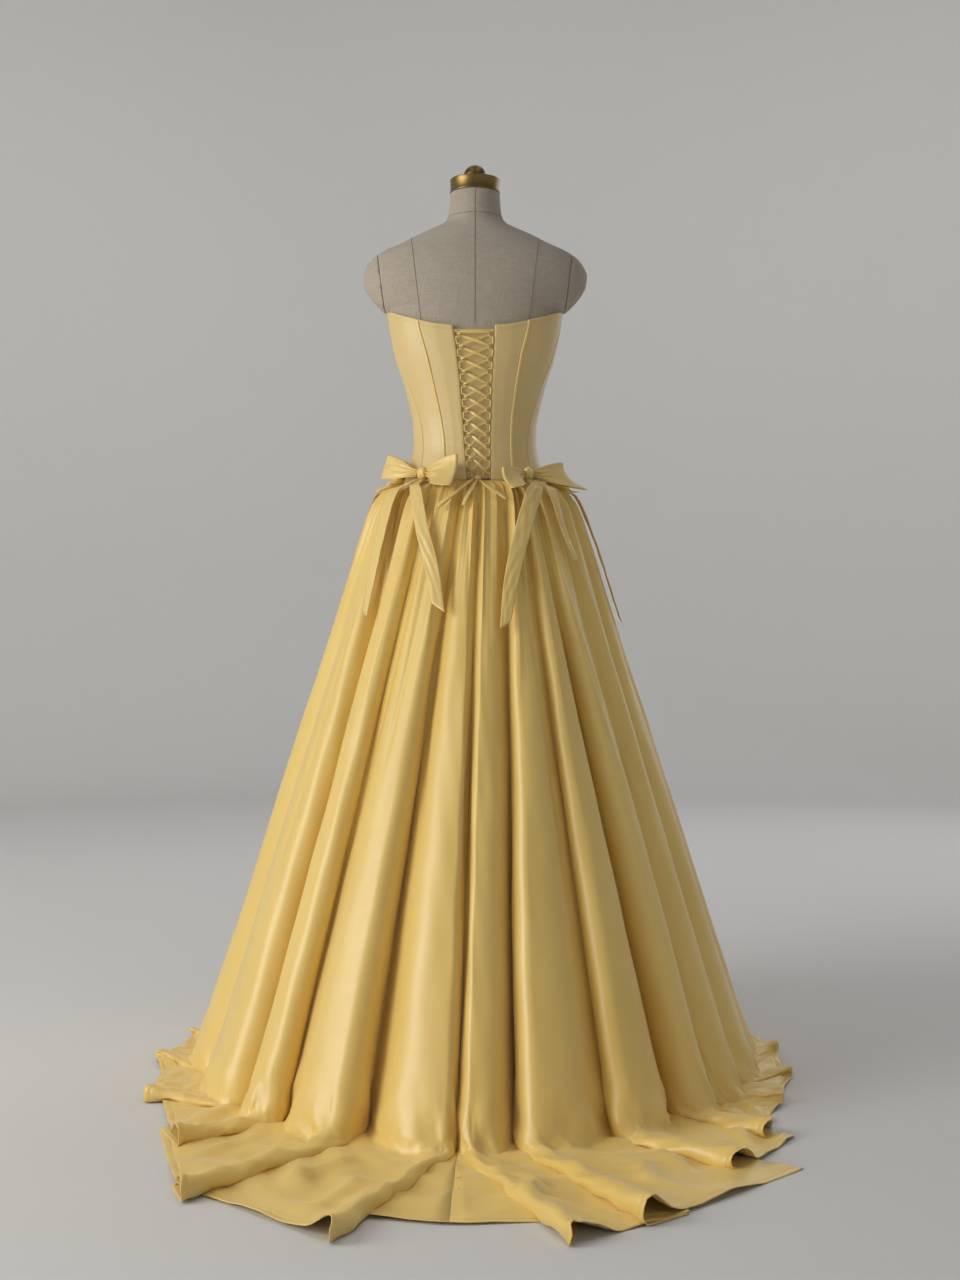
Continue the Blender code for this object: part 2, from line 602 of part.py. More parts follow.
def steep_column(sign, row, s, place):
    swing = row[5] * math.sin(math.pi * s)
    sink = 0.5 * (1 + math.cos(math.pi * s))
    hip_az = row[0] + (row[2] - row[0]) * s - 0.35 * swing
    floor_az = row[1] + (row[3] - row[1]) * s - swing
    foot, ridge = hem_point(row[6], row[7]), hem_point(row[8], row[9])
    return finish_column(sign, hip_az, floor_az, HIP_RISE * sink, row[4] * sink,
                         foot + (ridge - foot) * s, row[10] * s ** 1.5, place)


def gentle_column(sign, row, following, s, place):
    if following is None:
        next_hip, next_floor, next_az, next_r = FRONT_FOOT
        rise = row[4]
    else:
        next_hip, next_floor, next_az, next_r = following[0], following[1], following[6], following[7]
        rise = following[4]
    sink = (0.5 * (1 - math.cos(math.pi * s))) ** 1.15
    hip_az = row[2] + (next_hip - row[2]) * s
    floor_az = row[3] + (next_floor - row[3]) * s
    ridge, foot = hem_point(row[8], row[9]), hem_point(next_az, next_r)
    lift = row[10] * (0.5 * (1 + math.cos(math.pi * s))) ** 0.9
    return finish_column(sign, hip_az, floor_az, HIP_RISE * sink, rise * sink,
                         ridge + (foot - ridge) * s, lift, place)


def hem_point(az, reach):
    t = math.radians(az)
    return np.array((reach * math.sin(t), reach * math.cos(t)))


def finish_column(sign, hip_az, floor_az, hip_sink, floor_sink, hem, lift, place):
    hip = np.array(oval(hip_az, *skirt_size(HIP_Z), out=-hip_sink))
    floor = np.array(oval(floor_az, *skirt_size(0.0), out=-floor_sink))
    mirror = np.array((sign, 1.0))
    return {"hip": hip * mirror, "floor": floor * mirror, "hem": hem * mirror, "lift": lift,
            "az": sign * hip_az, "gather": math.cos(2 * math.pi * place / GATHER_COLUMNS)}


def gather_depth(z):
    return float(np.interp(z, (0.72, 0.88, 1.00, 1.03, 1.05, WAIST_SEAM_Z),
                           (0.0, 0.0028, 0.0042, 0.0045, 0.0036, 0.0012)))


def cone_point(column, z):
    """Point of a column between the waist seam and the bend near the floor."""
    u = (HIP_Z - z) / HIP_Z
    xy = column["hip"] + (column["floor"] - column["hip"]) * u
    if z > HIP_Z:
        join = float(np.interp(z, (HIP_Z, 1.025, 1.046, WAIST_SEAM_Z), (1.0, 0.95, 0.72, 0.0)))
        seam = np.array(oval(column["az"], *bodice_ring(1.058), out=0.0008))
        xy = seam + (xy - seam) * join
    size = np.linalg.norm(xy)
    xy = xy * (1 + gather_depth(z) * (column["gather"] - 0.3) / size)
    return np.array((xy[0], xy[1], z))


def skirt_column(column, heights, bend_steps, floor_steps):
    """Points of one column from the waist seam down, through the bend and along the floor."""
    points = [cone_point(column, z) for z in heights]
    lift = CLOTH + 0.0003 + column["lift"]
    start = cone_point(column, BEND_Z)
    corner = cone_point(column, lift)
    span = column["hem"] - corner[:2]
    length = np.linalg.norm(span)
    turn = corner[:2] + span * min(0.5, 0.035 / max(length, 1e-6))
    landing = np.array((turn[0], turn[1], lift))
    for k in range(bend_steps + 1):
        w = k / bend_steps
        points.append((1 - w) ** 2 * start + 2 * w * (1 - w) * corner + w * w * landing)
    for k in range(1, floor_steps + 1):
        w = k / floor_steps
        xy = turn + (column["hem"] - turn) * w
        points.append(np.array((xy[0], xy[1], lift * (1 - 0.12 * w) + 0.12 * w * (CLOTH + 0.0003))))
    return points


def build_skirt():
    heights = (WAIST_SEAM_Z, 1.046, 1.025, 0.93, 0.75, 0.42)
    columns, marks = fold_columns()
    grid = np.array([skirt_column(c, heights, 2, 2) for c in columns]).transpose(1, 0, 2)
    outward = -grid_normals(grid, around=True)
    if (outward[3, :, :2] * grid[3, :, :2]).sum() < 0:
        outward = -outward
    outward[0] = np.cross(np.cross(outward[0], (0, 0, 1.0)), (0, 0, -1.0))
    outward[0] /= np.linalg.norm(outward[0], axis=1, keepdims=True)
    inner = grid - outward * CLOTH
    count = len(columns)
    names = ("skirt_back_left", "skirt_side_left", "skirt_front", "skirt_side_right", "skirt_back_right")
    for name, first, last in zip(names, marks[:-1], marks[1:]):
        picks = [k % count for k in range(first, last + 1)]
        face, back = grid[:, picks].copy(), inner[:, picks].copy()
        for layer in (face, back):
            start_dir = layer[:, 1] - layer[:, 0]
            end_dir = layer[:, -2] - layer[:, -1]
            layer[:, 0] += 0.5 * SEAM_GAP * start_dir / np.linalg.norm(start_dir, axis=1, keepdims=True)
            layer[:, -1] += 0.5 * SEAM_GAP * end_dir / np.linalg.norm(end_dir, axis=1, keepdims=True)
        shell(name, face, back, "skirt_satin")


# Bows

def garment_point(az, z, clear):
    """Point over bodice or skirt: clear of the gathers by a distance along the ring's normal."""
    if z >= WAIST_SEAM_Z:
        ring = bodice_ring(z)
        gather = 0.0
    else:
        join = float(np.interp(z, (HIP_Z, 1.025, 1.046, WAIST_SEAM_Z), (1.0, 0.95, 0.72, 0.0)))
        ring = tuple(w + (s - w) * join for w, s in zip(bodice_ring(1.058), skirt_size(z)))
        gather = 0.7 * gather_depth(z)
    x, y = oval(az if abs(az) <= 180 else az - 360, *ring, out=clear + gather)
    return np.array((x, y, z))


def knot_gap(grid, end, wall, tree):
    """Least distance from a ribbon's end to its knot, negative inside the knot."""
    inner = 1 if end == 0 else -2
    normal = grid_normals(grid)
    least = 1.0
    for side in (-0.5, 0.5):
        layer = grid + normal * wall * side
        for u in np.linspace(0.0, 1.0, 7):
            row = layer[end] * (1 - u) + layer[inner] * u
            for v in np.linspace(0.0, len(row) - 1.0, 13):
                i = min(int(v), len(row) - 2)
                point = row[i] + (row[i + 1] - row[i]) * (v - i)
                near, face_normal, _, distance = tree.find_nearest(tuple(map(float, point)))
                inside = (point - np.array(near)).dot(np.array(face_normal)) < 0
                least = min(least, -distance if inside else distance)
    return least


def seat_end(grid, end, wall, knot):
    """Moves a ribbon's end row towards its knot until it stands a seam's gap off it."""
    points = [v.co for v in knot.data.vertices]
    tree = BVHTree.FromPolygons(points, [p.vertices[:] for p in knot.data.polygons])
    start = grid[end].copy()
    pull = np.mean([p[:] for p in points], axis=0) - start.mean(axis=0)
    low, high = 0.0, 1.0
    for _ in range(16):
        share = (low + high) / 2
        grid[end] = start + share * pull
        if knot_gap(grid, end, wall, tree) > SEAM_GAP + 0.00004:
            low = share
        else:
            high = share
    grid[end] = start + low * pull


def draped(name, rows, wall, knot, ends=(0,)):
    """Ribbon given by rows of points across it, its ends brought up to its knot."""
    grid = np.array(rows)
    for end in ends:
        seat_end(grid, end, wall, knot)
    normal = grid_normals(grid)
    shell(name, grid + normal * wall / 2, grid - normal * wall / 2, "ribbon_satin")


def ribbon_loop(name, knot, knot_az, knot_z, end_az, end_z, height, puff=0.012):
    """Bow loop: out from the knot, round at its end and back underneath to the knot."""
    start = math.copysign(5.4, end_az - knot_az)
    rows = []
    for reach, clear, wide in ((0.0, 0.50, 0.30), (0.30, 1.00, 0.62), (0.64, 1.10, 0.92), (0.92, 0.90, 1.0),
                               (1.00, 0.50, 0.98), (0.93, 0.16, 0.95), (0.62, 0.08, 0.84), (0.28, 0.10, 0.56),
                               (0.0, 0.16, 0.26)):
        az = knot_az + start + (end_az - knot_az - start) * reach
        z = knot_z + (end_z - knot_z) * reach
        off = 0.0045 + puff * clear
        half = 0.5 * height * wide
        rows.append([garment_point(az, z + half, off), garment_point(az, z, off + 0.0015),
                     garment_point(az, z - half, off)])
    draped(name, rows, RIBBON, knot, ends=(0, -1))


def ribbon_tail(name, knot, points, cut=0.0):
    """Bow tail from points of azimuth, height, width and clearance; cut slants its end."""
    first, second = points[0], points[1]
    over = (first[0] + 0.35 * (second[0] - first[0]), 1.0500, 0.5 * (first[2] + second[2]), 0.012)
    points = (first, over) + tuple(points[1:])
    rows = []
    for k, (az, z, width, clear) in enumerate(points):
        radius = float(np.hypot(*garment_point(az, z, clear)[:2]))
        swing = math.degrees(0.5 * width / radius)
        slant = cut if k == len(points) - 1 else 0.0
        rows.append([garment_point(az - swing, z - slant, clear), garment_point(az, z, clear + 0.0008),
                     garment_point(az + swing, z + slant, clear)])
    draped(name, rows, RIBBON, knot)


def bow_knot(name, az, z):
    centre = garment_point(az, z, 0.0095)
    c, s = math.cos(math.radians(az)), math.sin(math.radians(az))
    obj = lump(name, (0.0, 0.0, 0.0), (0.0112, 0.0085, 0.0125), 0.0, "ribbon_satin")
    for vertex in obj.data.vertices:
        x, y, h = vertex.co
        vertex.co = (centre[0] + c * x + s * y, centre[1] - s * x + c * y, centre[2] + h)
    return obj


def build_bows():
    knot = bow_knot("bow_back_left_knot", 44.0, 1.0745)
    ribbon_loop("bow_back_left_loop_outer", knot, 44.0, 1.0745, 80.0, 1.083, 0.036)
    ribbon_loop("bow_back_left_loop_inner", knot, 44.0, 1.0745, 12.0, 1.064, 0.052)
    ribbon_tail("bow_back_left_tail_inner", knot, (
        (41.0, 1.0600, 0.010, 0.008), (34.0, 1.0400, 0.023, 0.012), (25.0, 0.9700, 0.025, 0.009),
        (18.0, 0.9000, 0.025, 0.009), (13.5, 0.8250, 0.025, 0.010)), cut=0.008)
    ribbon_tail("bow_back_left_tail_outer", knot, (
        (47.0, 1.0600, 0.010, 0.008), (50.0, 1.0350, 0.028, 0.012), (49.0, 0.9700, 0.027, 0.009),
        (47.5, 0.8900, 0.022, 0.009), (45.5, 0.8150, 0.014, 0.010)), cut=0.004)
    knot = bow_knot("bow_back_right_knot", -45.0, 1.0735)
    ribbon_loop("bow_back_right_loop_outer", knot, -45.0, 1.0735, -81.0, 1.068, 0.042)
    ribbon_loop("bow_back_right_loop_inner", knot, -45.0, 1.0735, -18.0, 1.055, 0.034)
    ribbon_tail("bow_back_right_tail_inner", knot, (
        (-42.0, 1.0590, 0.010, 0.008), (-33.0, 1.0350, 0.032, 0.012), (-21.0, 0.9500, 0.030, 0.009),
        (-14.5, 0.8700, 0.026, 0.009), (-11.0, 0.7950, 0.020, 0.010)), cut=-0.006)
    ribbon_tail("bow_back_right_tail_outer", knot, (
        (-48.0, 1.0590, 0.010, 0.008), (-46.0, 1.0350, 0.018, 0.012), (-45.5, 0.9700, 0.014, 0.009),
        (-49.0, 0.9120, 0.012, 0.009)))
    knot = bow_knot("bow_side_left_knot", 108.0, 1.0735)
    ribbon_loop("bow_side_left_loop_front", knot, 108.0, 1.0735, 134.0, 1.066, 0.038)
    ribbon_loop("bow_side_left_loop_back", knot, 108.0, 1.0735, 86.0, 1.058, 0.034)
    ribbon_tail("bow_side_left_tail_front", knot, (
        (111.0, 1.0590, 0.010, 0.008), (116.0, 1.0350, 0.024, 0.012), (118.0, 0.9500, 0.026, 0.009),
        (119.0, 0.8200, 0.026, 0.010)), cut=0.006)
    ribbon_tail("bow_side_left_tail_back", knot, (
        (105.0, 1.0590, 0.010, 0.008), (101.0, 1.0350, 0.024, 0.012), (100.0, 0.9500, 0.026, 0.009),
        (99.0, 0.8300, 0.026, 0.010)), cut=-0.006)
    knot = bow_knot("bow_side_right_knot", -110.0, 1.0735)
    ribbon_loop("bow_side_right_loop_front", knot, -110.0, 1.0735, -135.0, 1.066, 0.038)
    ribbon_loop("bow_side_right_loop_back", knot, -110.0, 1.0735, -87.0, 1.058, 0.034)
    ribbon_tail("bow_side_right_tail_front", knot, (
        (-113.0, 1.0590, 0.010, 0.008), (-118.0, 1.0350, 0.024, 0.012), (-119.0, 0.9500, 0.026, 0.009),
        (-119.5, 0.8200, 0.026, 0.010)), cut=0.006)
    ribbon_tail("bow_side_right_tail_back", knot, (
        (-107.0, 1.0590, 0.010, 0.008), (-99.0, 1.0350, 0.024, 0.012), (-94.0, 0.9500, 0.026, 0.009),
        (-91.0, 0.8050, 0.026, 0.010)), cut=-0.006)


# Dress form and stand

def form_rings():
    rings = [(*row, 0.0) for row in FORM_LOWER]
    for z in (1.055, 1.098, 1.145, 1.200, 1.245, 1.295, 1.340, 1.372):
        rings.append((z, *bodice_ring(z), 1.0))
    return rings + [(*row, 0.0) for row in FORM_UPPER]


def form_grid():
    grid = []
    for z, half_width, back, front, power, under in form_rings():
        row = []
        for s in range(FORM_SEGMENTS):
            az = 360.0 * s / FORM_SEGMENTS - 180.0
            near = max(0.0, 1.0 - abs(az) / 50.0)
            inset = under * (FORM_GAP + LACED_GAP * (3 * near ** 2 - 2 * near ** 3 if near < 1 else 1.0))
            x, y = oval(az, half_width, back, front, power, -inset)
            row.append((x, y, z))
        grid.append(row)
    return grid


def ring_solid(name, grid, material_key):
    rows, cols = len(grid), len(grid[0])
    verts = [p for row in grid for p in row]
    faces = [tuple(range(cols)), tuple((rows - 1) * cols + c for c in range(cols - 1, -1, -1))]
    for r in range(rows - 1):
        for c in range(cols):
            n = (c + 1) % cols
            faces.append((r * cols + c, (r + 1) * cols + c, (r + 1) * cols + n, r * cols + n))
    return add_solid(name, verts, faces, material_key)


def cut_flat(obj, point, normal, keep_below, above=1.371):
    """Cuts the part of a solid above a height with a plane, keeps one side and closes the cut."""
    bm = bmesh.new()
    bm.from_mesh(obj.data)
    geom = [v for v in bm.verts if v.co.z > above]
    high = set(geom)
    geom += [e for e in bm.edges if all(v in high for v in e.verts)]
    geom += [f for f in bm.faces if all(v in high for v in f.verts)]
    result = bmesh.ops.bisect_plane(bm, geom=geom, dist=1e-7, plane_co=point, plane_no=normal,
                                    clear_outer=keep_below, clear_inner=not keep_below)
    edges = [e for e in result["geom_cut"] if isinstance(e, bmesh.types.BMEdge)]
    bmesh.ops.holes_fill(bm, edges=edges, sides=0)
    bmesh.ops.remove_doubles(bm, verts=bm.verts, dist=1e-5)
    bmesh.ops.recalc_face_normals(bm, faces=bm.faces)
    bm.to_mesh(obj.data)
    bm.free()


def build_form():
    grid = form_grid()
    x0, z0, x1, z1 = ARM_PLANE
    slope = (x1 - x0) / (z1 - z0)
    size = math.hypot(1.0, slope)
    torso = ring_solid("form_torso", grid, "form_linen")
    for side in (1, -1):
        normal = (side / size, 0.0, -slope / size)
        cut_flat(torso, (side * (x0 - 0.5 * SEAM_GAP), 0.0, z0), normal, True)
    for name, side in (("form_arm_plate_left", 1), ("form_arm_plate_right", -1)):
        plate = ring_solid(name, [row for row in grid if row[0][2] > 1.371], "form_linen")
        normal = (side / size, 0.0, -slope / size)
        cut_flat(plate, (side * (x0 + 0.5 * SEAM_GAP), 0.0, z0), normal, False)
    turned("neck_cap", ((0, 1.6063), (0.0450, 1.6063), (0.0470, 1.6085), (0.0470, 1.6290),
                        (0.0450, 1.6325), (0.0230, 1.6345), (0, 1.6345)), "cap_brass", tilt=0.0)
    ball = [(0, 1.6348)]
    for k in range(7):
        a = math.radians(-8 + k * 14.5)
        ball.append((0.0215 * math.cos(a), 1.6378 + 0.0215 * math.sin(a)))
    ball.append((0, 1.6593))
    turned("neck_finial", tuple(ball), "cap_brass", segments=20)
    turned("stand_pole", ((0, BASE_HEIGHT + SEAM_GAP), (POLE_RADIUS, BASE_HEIGHT + SEAM_GAP),
                          (POLE_RADIUS, FORM_FOOT_Z - SEAM_GAP), (0, FORM_FOOT_Z - SEAM_GAP)), "stand_steel")
    turned("stand_base", ((0, 0.0), (BASE_RADIUS - 0.003, 0.0), (BASE_RADIUS, 0.003),
                          (BASE_RADIUS, BASE_HEIGHT - 0.006), (BASE_RADIUS - 0.006, BASE_HEIGHT),
                          (0, BASE_HEIGHT)), "stand_steel", segments=32)


def main():
    for obj in list(bpy.data.objects):
        bpy.data.objects.remove(obj, do_unlink=True)
    build_form()
    build_bodice()
    build_modesty_panel()
    build_casings()
    build_loops()
    build_lace()
    build_skirt()
    build_bows()


main()
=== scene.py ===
"""Laced satin ball gown on a limbless dress form: the looks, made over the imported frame.

Frame: +Z up, the origin at the middle of the stand's underside, the gown's front towards -Y and the
wearer's left towards +X. Azimuths are measured from the centre back (+Y), positive towards +X.
"""

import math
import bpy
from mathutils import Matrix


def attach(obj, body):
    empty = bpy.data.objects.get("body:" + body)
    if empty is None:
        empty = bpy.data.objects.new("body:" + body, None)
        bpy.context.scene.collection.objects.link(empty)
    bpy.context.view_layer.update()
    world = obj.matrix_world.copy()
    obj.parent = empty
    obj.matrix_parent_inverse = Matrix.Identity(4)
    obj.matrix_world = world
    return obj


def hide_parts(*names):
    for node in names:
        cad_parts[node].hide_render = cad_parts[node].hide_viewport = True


bl_info = {
    "name": "Laced satin ball gown",
    "version": (1, 0, 0),
    "blender": (4, 5, 0),
    "location": "3D View > Sidebar > Gown",
    "description": "Cuts, drapes and finishes a laced ball gown over its packed frame",
    "category": "Object",
}

import bmesh
import bpy
import numpy as np
from bpy.props import FloatProperty, FloatVectorProperty, IntProperty, PointerProperty
from mathutils.bvhtree import BVHTree

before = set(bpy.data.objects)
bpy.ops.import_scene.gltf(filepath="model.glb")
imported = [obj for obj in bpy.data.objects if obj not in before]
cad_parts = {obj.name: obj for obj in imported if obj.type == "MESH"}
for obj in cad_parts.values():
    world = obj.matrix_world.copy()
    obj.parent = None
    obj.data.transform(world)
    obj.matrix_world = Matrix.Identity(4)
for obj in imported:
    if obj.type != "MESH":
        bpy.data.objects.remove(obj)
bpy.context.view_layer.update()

# Sizes in metres. They are the solids' own, but for HIP_RISE, BREAK_Z and the back folds, which are finer.
SEAM_GAP = 0.0003         # left between neighbouring pieces
MODESTY_DEPTH = 0.0047    # the modesty panel's face behind the bodice face
FORM_GAP = 0.0053         # form to bodice face, at the front and sides
LACED_GAP = 0.0029        # more of it behind the modesty panel
WAIST_SEAM_Z = 1.0585     # top of the skirt
WAIST_RING_Z = 1.058      # where the skirt takes the bodice's ring
HIP_Z = 1.000             # height of the hip ring that the fold tables refer to
SKIRT_TOP_Z = 1.055
SKIRT_HIP = (0.182, 0.150, 0.138)      # half width at the top, reach behind the axis and before it
SKIRT_FLOOR = (0.522, 0.630, 0.455)    # the same at the floor
HIP_RISE = 0.0169         # how far a fold stands out of its valley at the hip ring
BREAK_Z = 0.026           # where the cloth starts to bend onto the floor
SIDE_FOLDS = (3, 3)       # the side panels start at this row of the left and the right table
FRONT_FOLDS = (7, 7)      # and the front panel at this one
FRONT_SHARE = 0.7         # share of the mesh's columns that a fold of the front gets

# Heights of the skirt's rows down to the bend (first, last, count), then the steps round the bend and along
# the floor.
UPPER_ROWS = ((WAIST_SEAM_Z, 1.035, 8), (1.030, 0.90, 16), (0.885, BREAK_Z + 0.012, 56))
BEND_STEPS, FLOOR_STEPS = 15, 20
MIDDLE_ROW = 30           # a row well down the cloth, which tells its outer side
BEND_REACH = 0.009        # how far along the floor the bend runs
FLOOR_END = 0.026         # where the floor steps end before the hem
HEM_BACK = (0.018, 0.0125, 0.0112, 0.0100, 0.004, 0.0)    # the last rows, measured back from the hem
HEM_STITCH_ROW = -4       # the row of the hem's stitches
ROUNDING = 0.75           # width of the blur along a row, in columns
PUCKER_SCALE = 1.4        # the puckers' height over that in their table

# One row per skirt fold, from the centre back round to the centre front of each half.
# foot_hip, foot_floor, ridge_hip, ridge_floor, rise, tuck, then where foot and ridge end at the hem:
# foot_az, foot_r, ridge_az, ridge_r, and the ridge's lift off the floor.
LEFT_FOLDS = (
    (-2.0, 3.0, 1.0, 5.2, 0.045, 0.5, 2.0, 0.900, 10.6, 0.990, 0.030),
    (9.0, 25.0, 13.0, 25.8, 0.096, 2.8, 30.3, 0.852, 25.7, 0.915, 0.032),
    (28.5, 42.0, 31.5, 42.8, 0.060, 2.4, 46.8, 0.686, 37.7, 0.735, 0.030),
    (48.0, 53.5, 53.0, 55.0, 0.088, 3.2, 60.5, 0.609, 58.5, 0.645, 0.024),
    (73.0, 73.0, 83.0, 82.0, 0.030, 0.8, 74.0, 0.578, 84.0, 0.588, 0.016),
    (93.0, 93.0, 101.0, 101.0, 0.050, 1.2, 93.0, 0.553, 101.0, 0.560, 0.015),
    (109.0, 108.0, 116.0, 115.0, 0.052, 1.2, 107.0, 0.545, 113.5, 0.552, 0.015),
    (124.0, 123.0, 131.0, 130.0, 0.046, 1.2, 119.5, 0.528, 127.0, 0.537, 0.014),
    (138.5, 138.0, 146.0, 145.0, 0.052, 1.2, 135.0, 0.510, 142.0, 0.520, 0.015),
    (153.0, 152.0, 160.0, 159.0, 0.046, 1.2, 149.5, 0.497, 157.0, 0.505, 0.014),
    (167.0, 166.0, 173.0, 172.0, 0.044, 1.2, 164.5, 0.490, 171.5, 0.498, 0.014),
)
RIGHT_FOLDS = (
    (2.0, -3.0, 5.0, -0.8, 0.045, 0.5, -2.0, 0.900, 7.3, 0.985, 0.028),
    (17.5, 10.0, 20.5, 10.8, 0.096, 2.4, 19.4, 0.900, 13.8, 0.935, 0.036),
    (27.0, 28.5, 30.0, 29.3, 0.060, 2.4, 36.1, 0.826, 28.6, 0.785, 0.032),
    (35.0, 46.0, 39.0, 46.8, 0.086, 2.6, 43.9, 0.721, 39.6, 0.700, 0.030),
    (53.0, 53.5, 59.0, 58.5, 0.030, 1.0, 50.0, 0.628, 55.5, 0.622, 0.020),
    (66.0, 64.0, 73.0, 71.0, 0.042, 1.0, 64.5, 0.590, 72.0, 0.588, 0.016),
    (82.0, 81.0, 89.0, 88.5, 0.036, 1.0, 81.5, 0.562, 89.5, 0.567, 0.015),
    (100.0, 99.5, 108.0, 107.5, 0.050, 1.2, 99.5, 0.550, 107.0, 0.557, 0.015),
    (118.5, 118.0, 126.0, 125.5, 0.054, 1.2, 116.0, 0.534, 123.0, 0.543, 0.016),
    (137.0, 136.5, 145.0, 144.5, 0.052, 1.2, 133.5, 0.512, 141.5, 0.521, 0.015),
    (156.5, 156.0, 164.0, 163.5, 0.048, 1.2, 154.0, 0.496, 162.0, 0.503, 0.014),
)
FRONT_FOOT = (180.0, 180.0, 180.0, 0.487)
# How far the hem runs in under the first folds of each half, on the left and on the right: azimuth and reach.
UNDER = {1: ((12.4, 0.880),), -1: ((9.4, 0.890),)}

# Soft creases of the skirt: azimuth at their upper and lower end, those heights, half width, depth (m).
CREASES = (
    (17.0, 13.0, 0.93, 0.40, 0.006, 0.0030), (21.5, 25.0, 0.96, 0.52, 0.005, 0.0028),
    (2.0, 1.5, 1.02, 0.12, 0.005, 0.0030), (-22.0, -20.5, 0.98, 0.30, 0.006, 0.0032),
    (-34.5, -35.0, 0.94, 0.36, 0.005, 0.0028), (-47.0, -50.0, 0.90, 0.48, 0.006, 0.0026),
    (28.0, 34.0, 0.88, 0.35, 0.008, 0.0026), (45.0, 46.0, 0.97, 0.55, 0.005, 0.0030),
    (56.0, 54.0, 0.95, 0.30, 0.006, 0.0026), (-60.0, -60.0, 0.99, 0.42, 0.006, 0.0030),
    (68.0, 70.0, 0.93, 0.44, 0.007, 0.0028), (-76.0, -77.0, 0.95, 0.38, 0.006, 0.0028),
    (-95.0, -94.0, 0.96, 0.34, 0.007, 0.0028), (88.0, 89.0, 0.90, 0.28, 0.007, 0.0026),
    (105.0, 104.0, 0.97, 0.40, 0.006, 0.0030), (-113.0, -112.0, 0.92, 0.30, 0.007, 0.0028),
    (121.0, 120.0, 0.95, 0.45, 0.006, 0.0028), (-131.0, -130.0, 0.96, 0.42, 0.006, 0.0030),
    (135.0, 134.0, 0.90, 0.30, 0.007, 0.0026), (150.0, 149.0, 0.97, 0.36, 0.006, 0.0030),
    (-150.0, -150.0, 0.91, 0.33, 0.007, 0.0026), (164.0, 163.0, 0.94, 0.42, 0.006, 0.0028),
    (-171.0, -170.0, 0.95, 0.28, 0.007, 0.0030), (177.0, 177.0, 0.92, 0.38, 0.007, 0.0026),
)
# Puckers on the train: azimuth and reach of one end, azimuth and reach of the other, half width, height.
PUCKERS = (
    (22.0, 0.70, 17.0, 0.82, 0.016, 0.0090), (16.0, 0.66, 20.0, 0.80, 0.012, 0.0070),
    (33.0, 0.64, 33.0, 0.76, 0.012, 0.0060), (12.0, 0.74, 14.0, 0.90, 0.014, 0.0070),
    (-8.0, 0.72, -4.0, 0.86, 0.014, 0.0080), (-3.0, 0.70, -8.0, 0.80, 0.011, 0.0060),
    (-21.0, 0.68, -18.0, 0.80, 0.014, 0.0090), (-25.0, 0.66, -24.0, 0.78, 0.010, 0.0070),
    (-17.0, 0.76, -22.0, 0.84, 0.012, 0.0060), (-40.0, 0.62, -36.0, 0.72, 0.012, 0.0070),
    (48.0, 0.58, 50.0, 0.68, 0.012, 0.0060), (2.0, 0.74, 2.5, 0.86, 0.012, 0.0050),
    (-52.0, 0.56, -48.0, 0.62, 0.010, 0.0050), (66.0, 0.54, 64.0, 0.60, 0.010, 0.0050),
)

# Bodice face: z, half width, reach behind the axis, reach before it, squareness.
BODICE = (
    (1.040, 0.1405, 0.116, 0.116, 2.00), (1.060, 0.1350, 0.111, 0.112, 2.00),
    (1.082, 0.1265, 0.103, 0.107, 2.00), (1.106, 0.1200, 0.095, 0.102, 2.00),
    (1.126, 0.1160, 0.090, 0.099, 2.00), (1.145, 0.1150, 0.088, 0.098, 2.00),
    (1.170, 0.1158, 0.0885, 0.100, 2.02), (1.1975, 0.1207, 0.091, 0.105, 2.06),
    (1.2425, 0.1320, 0.097, 0.118, 2.15), (1.295, 0.1486, 0.103, 0.136, 2.27),
    (1.342, 0.1590, 0.106, 0.141, 2.36), (1.370, 0.1632, 0.107, 0.136, 2.40),
    (1.400, 0.1660, 0.107, 0.127, 2.40),
)
TOP_EDGE = ((0.0, 1.338), (20.0, 1.344), (45.0, 1.360), (80.0, 1.378), (95.0, 1.377), (120.0, 1.375),
            (150.0, 1.382), (165.0, 1.382), (180.0, 1.374))
BOTTOM_Z = 1.0590
TOP_STITCH = 0.0085       # how far the top edge's stitches lie below it
BACK_COLUMNS, FRONT_COLUMNS, PANEL_ROWS = 26, 64, 96
SEAM_Z = (1.06, 1.10, 1.14, 1.18, 1.24, 1.29, 1.34, 1.40)
LACE_EDGE_LEFT = (0.0145, 0.0170, 0.0200, 0.0230, 0.0272, 0.0325, 0.0395, 0.0480)
LACE_EDGE_RIGHT = (-0.0290, -0.0290, -0.0290, -0.0303, -0.0317, -0.0344, -0.0362, -0.0370)
PRINCESS_LEFT = (0.0560, 0.0560, 0.0575, 0.0640, 0.0770, 0.0890, 0.1030, 0.1100)
PRINCESS_RIGHT = (-0.0725, -0.0680, -0.0670, -0.0690, -0.0770, -0.0860, -0.0985, -0.1050)
SIDE_SEAM_DEG = (55.0, 53.0, 57.0, 61.0, 68.0, 75.0, 80.0, 82.0)
FRONT_SEAM_DEG = (151.0, 151.0, 151.0, 150.0, 147.0, 143.0, 141.0, 141.0)

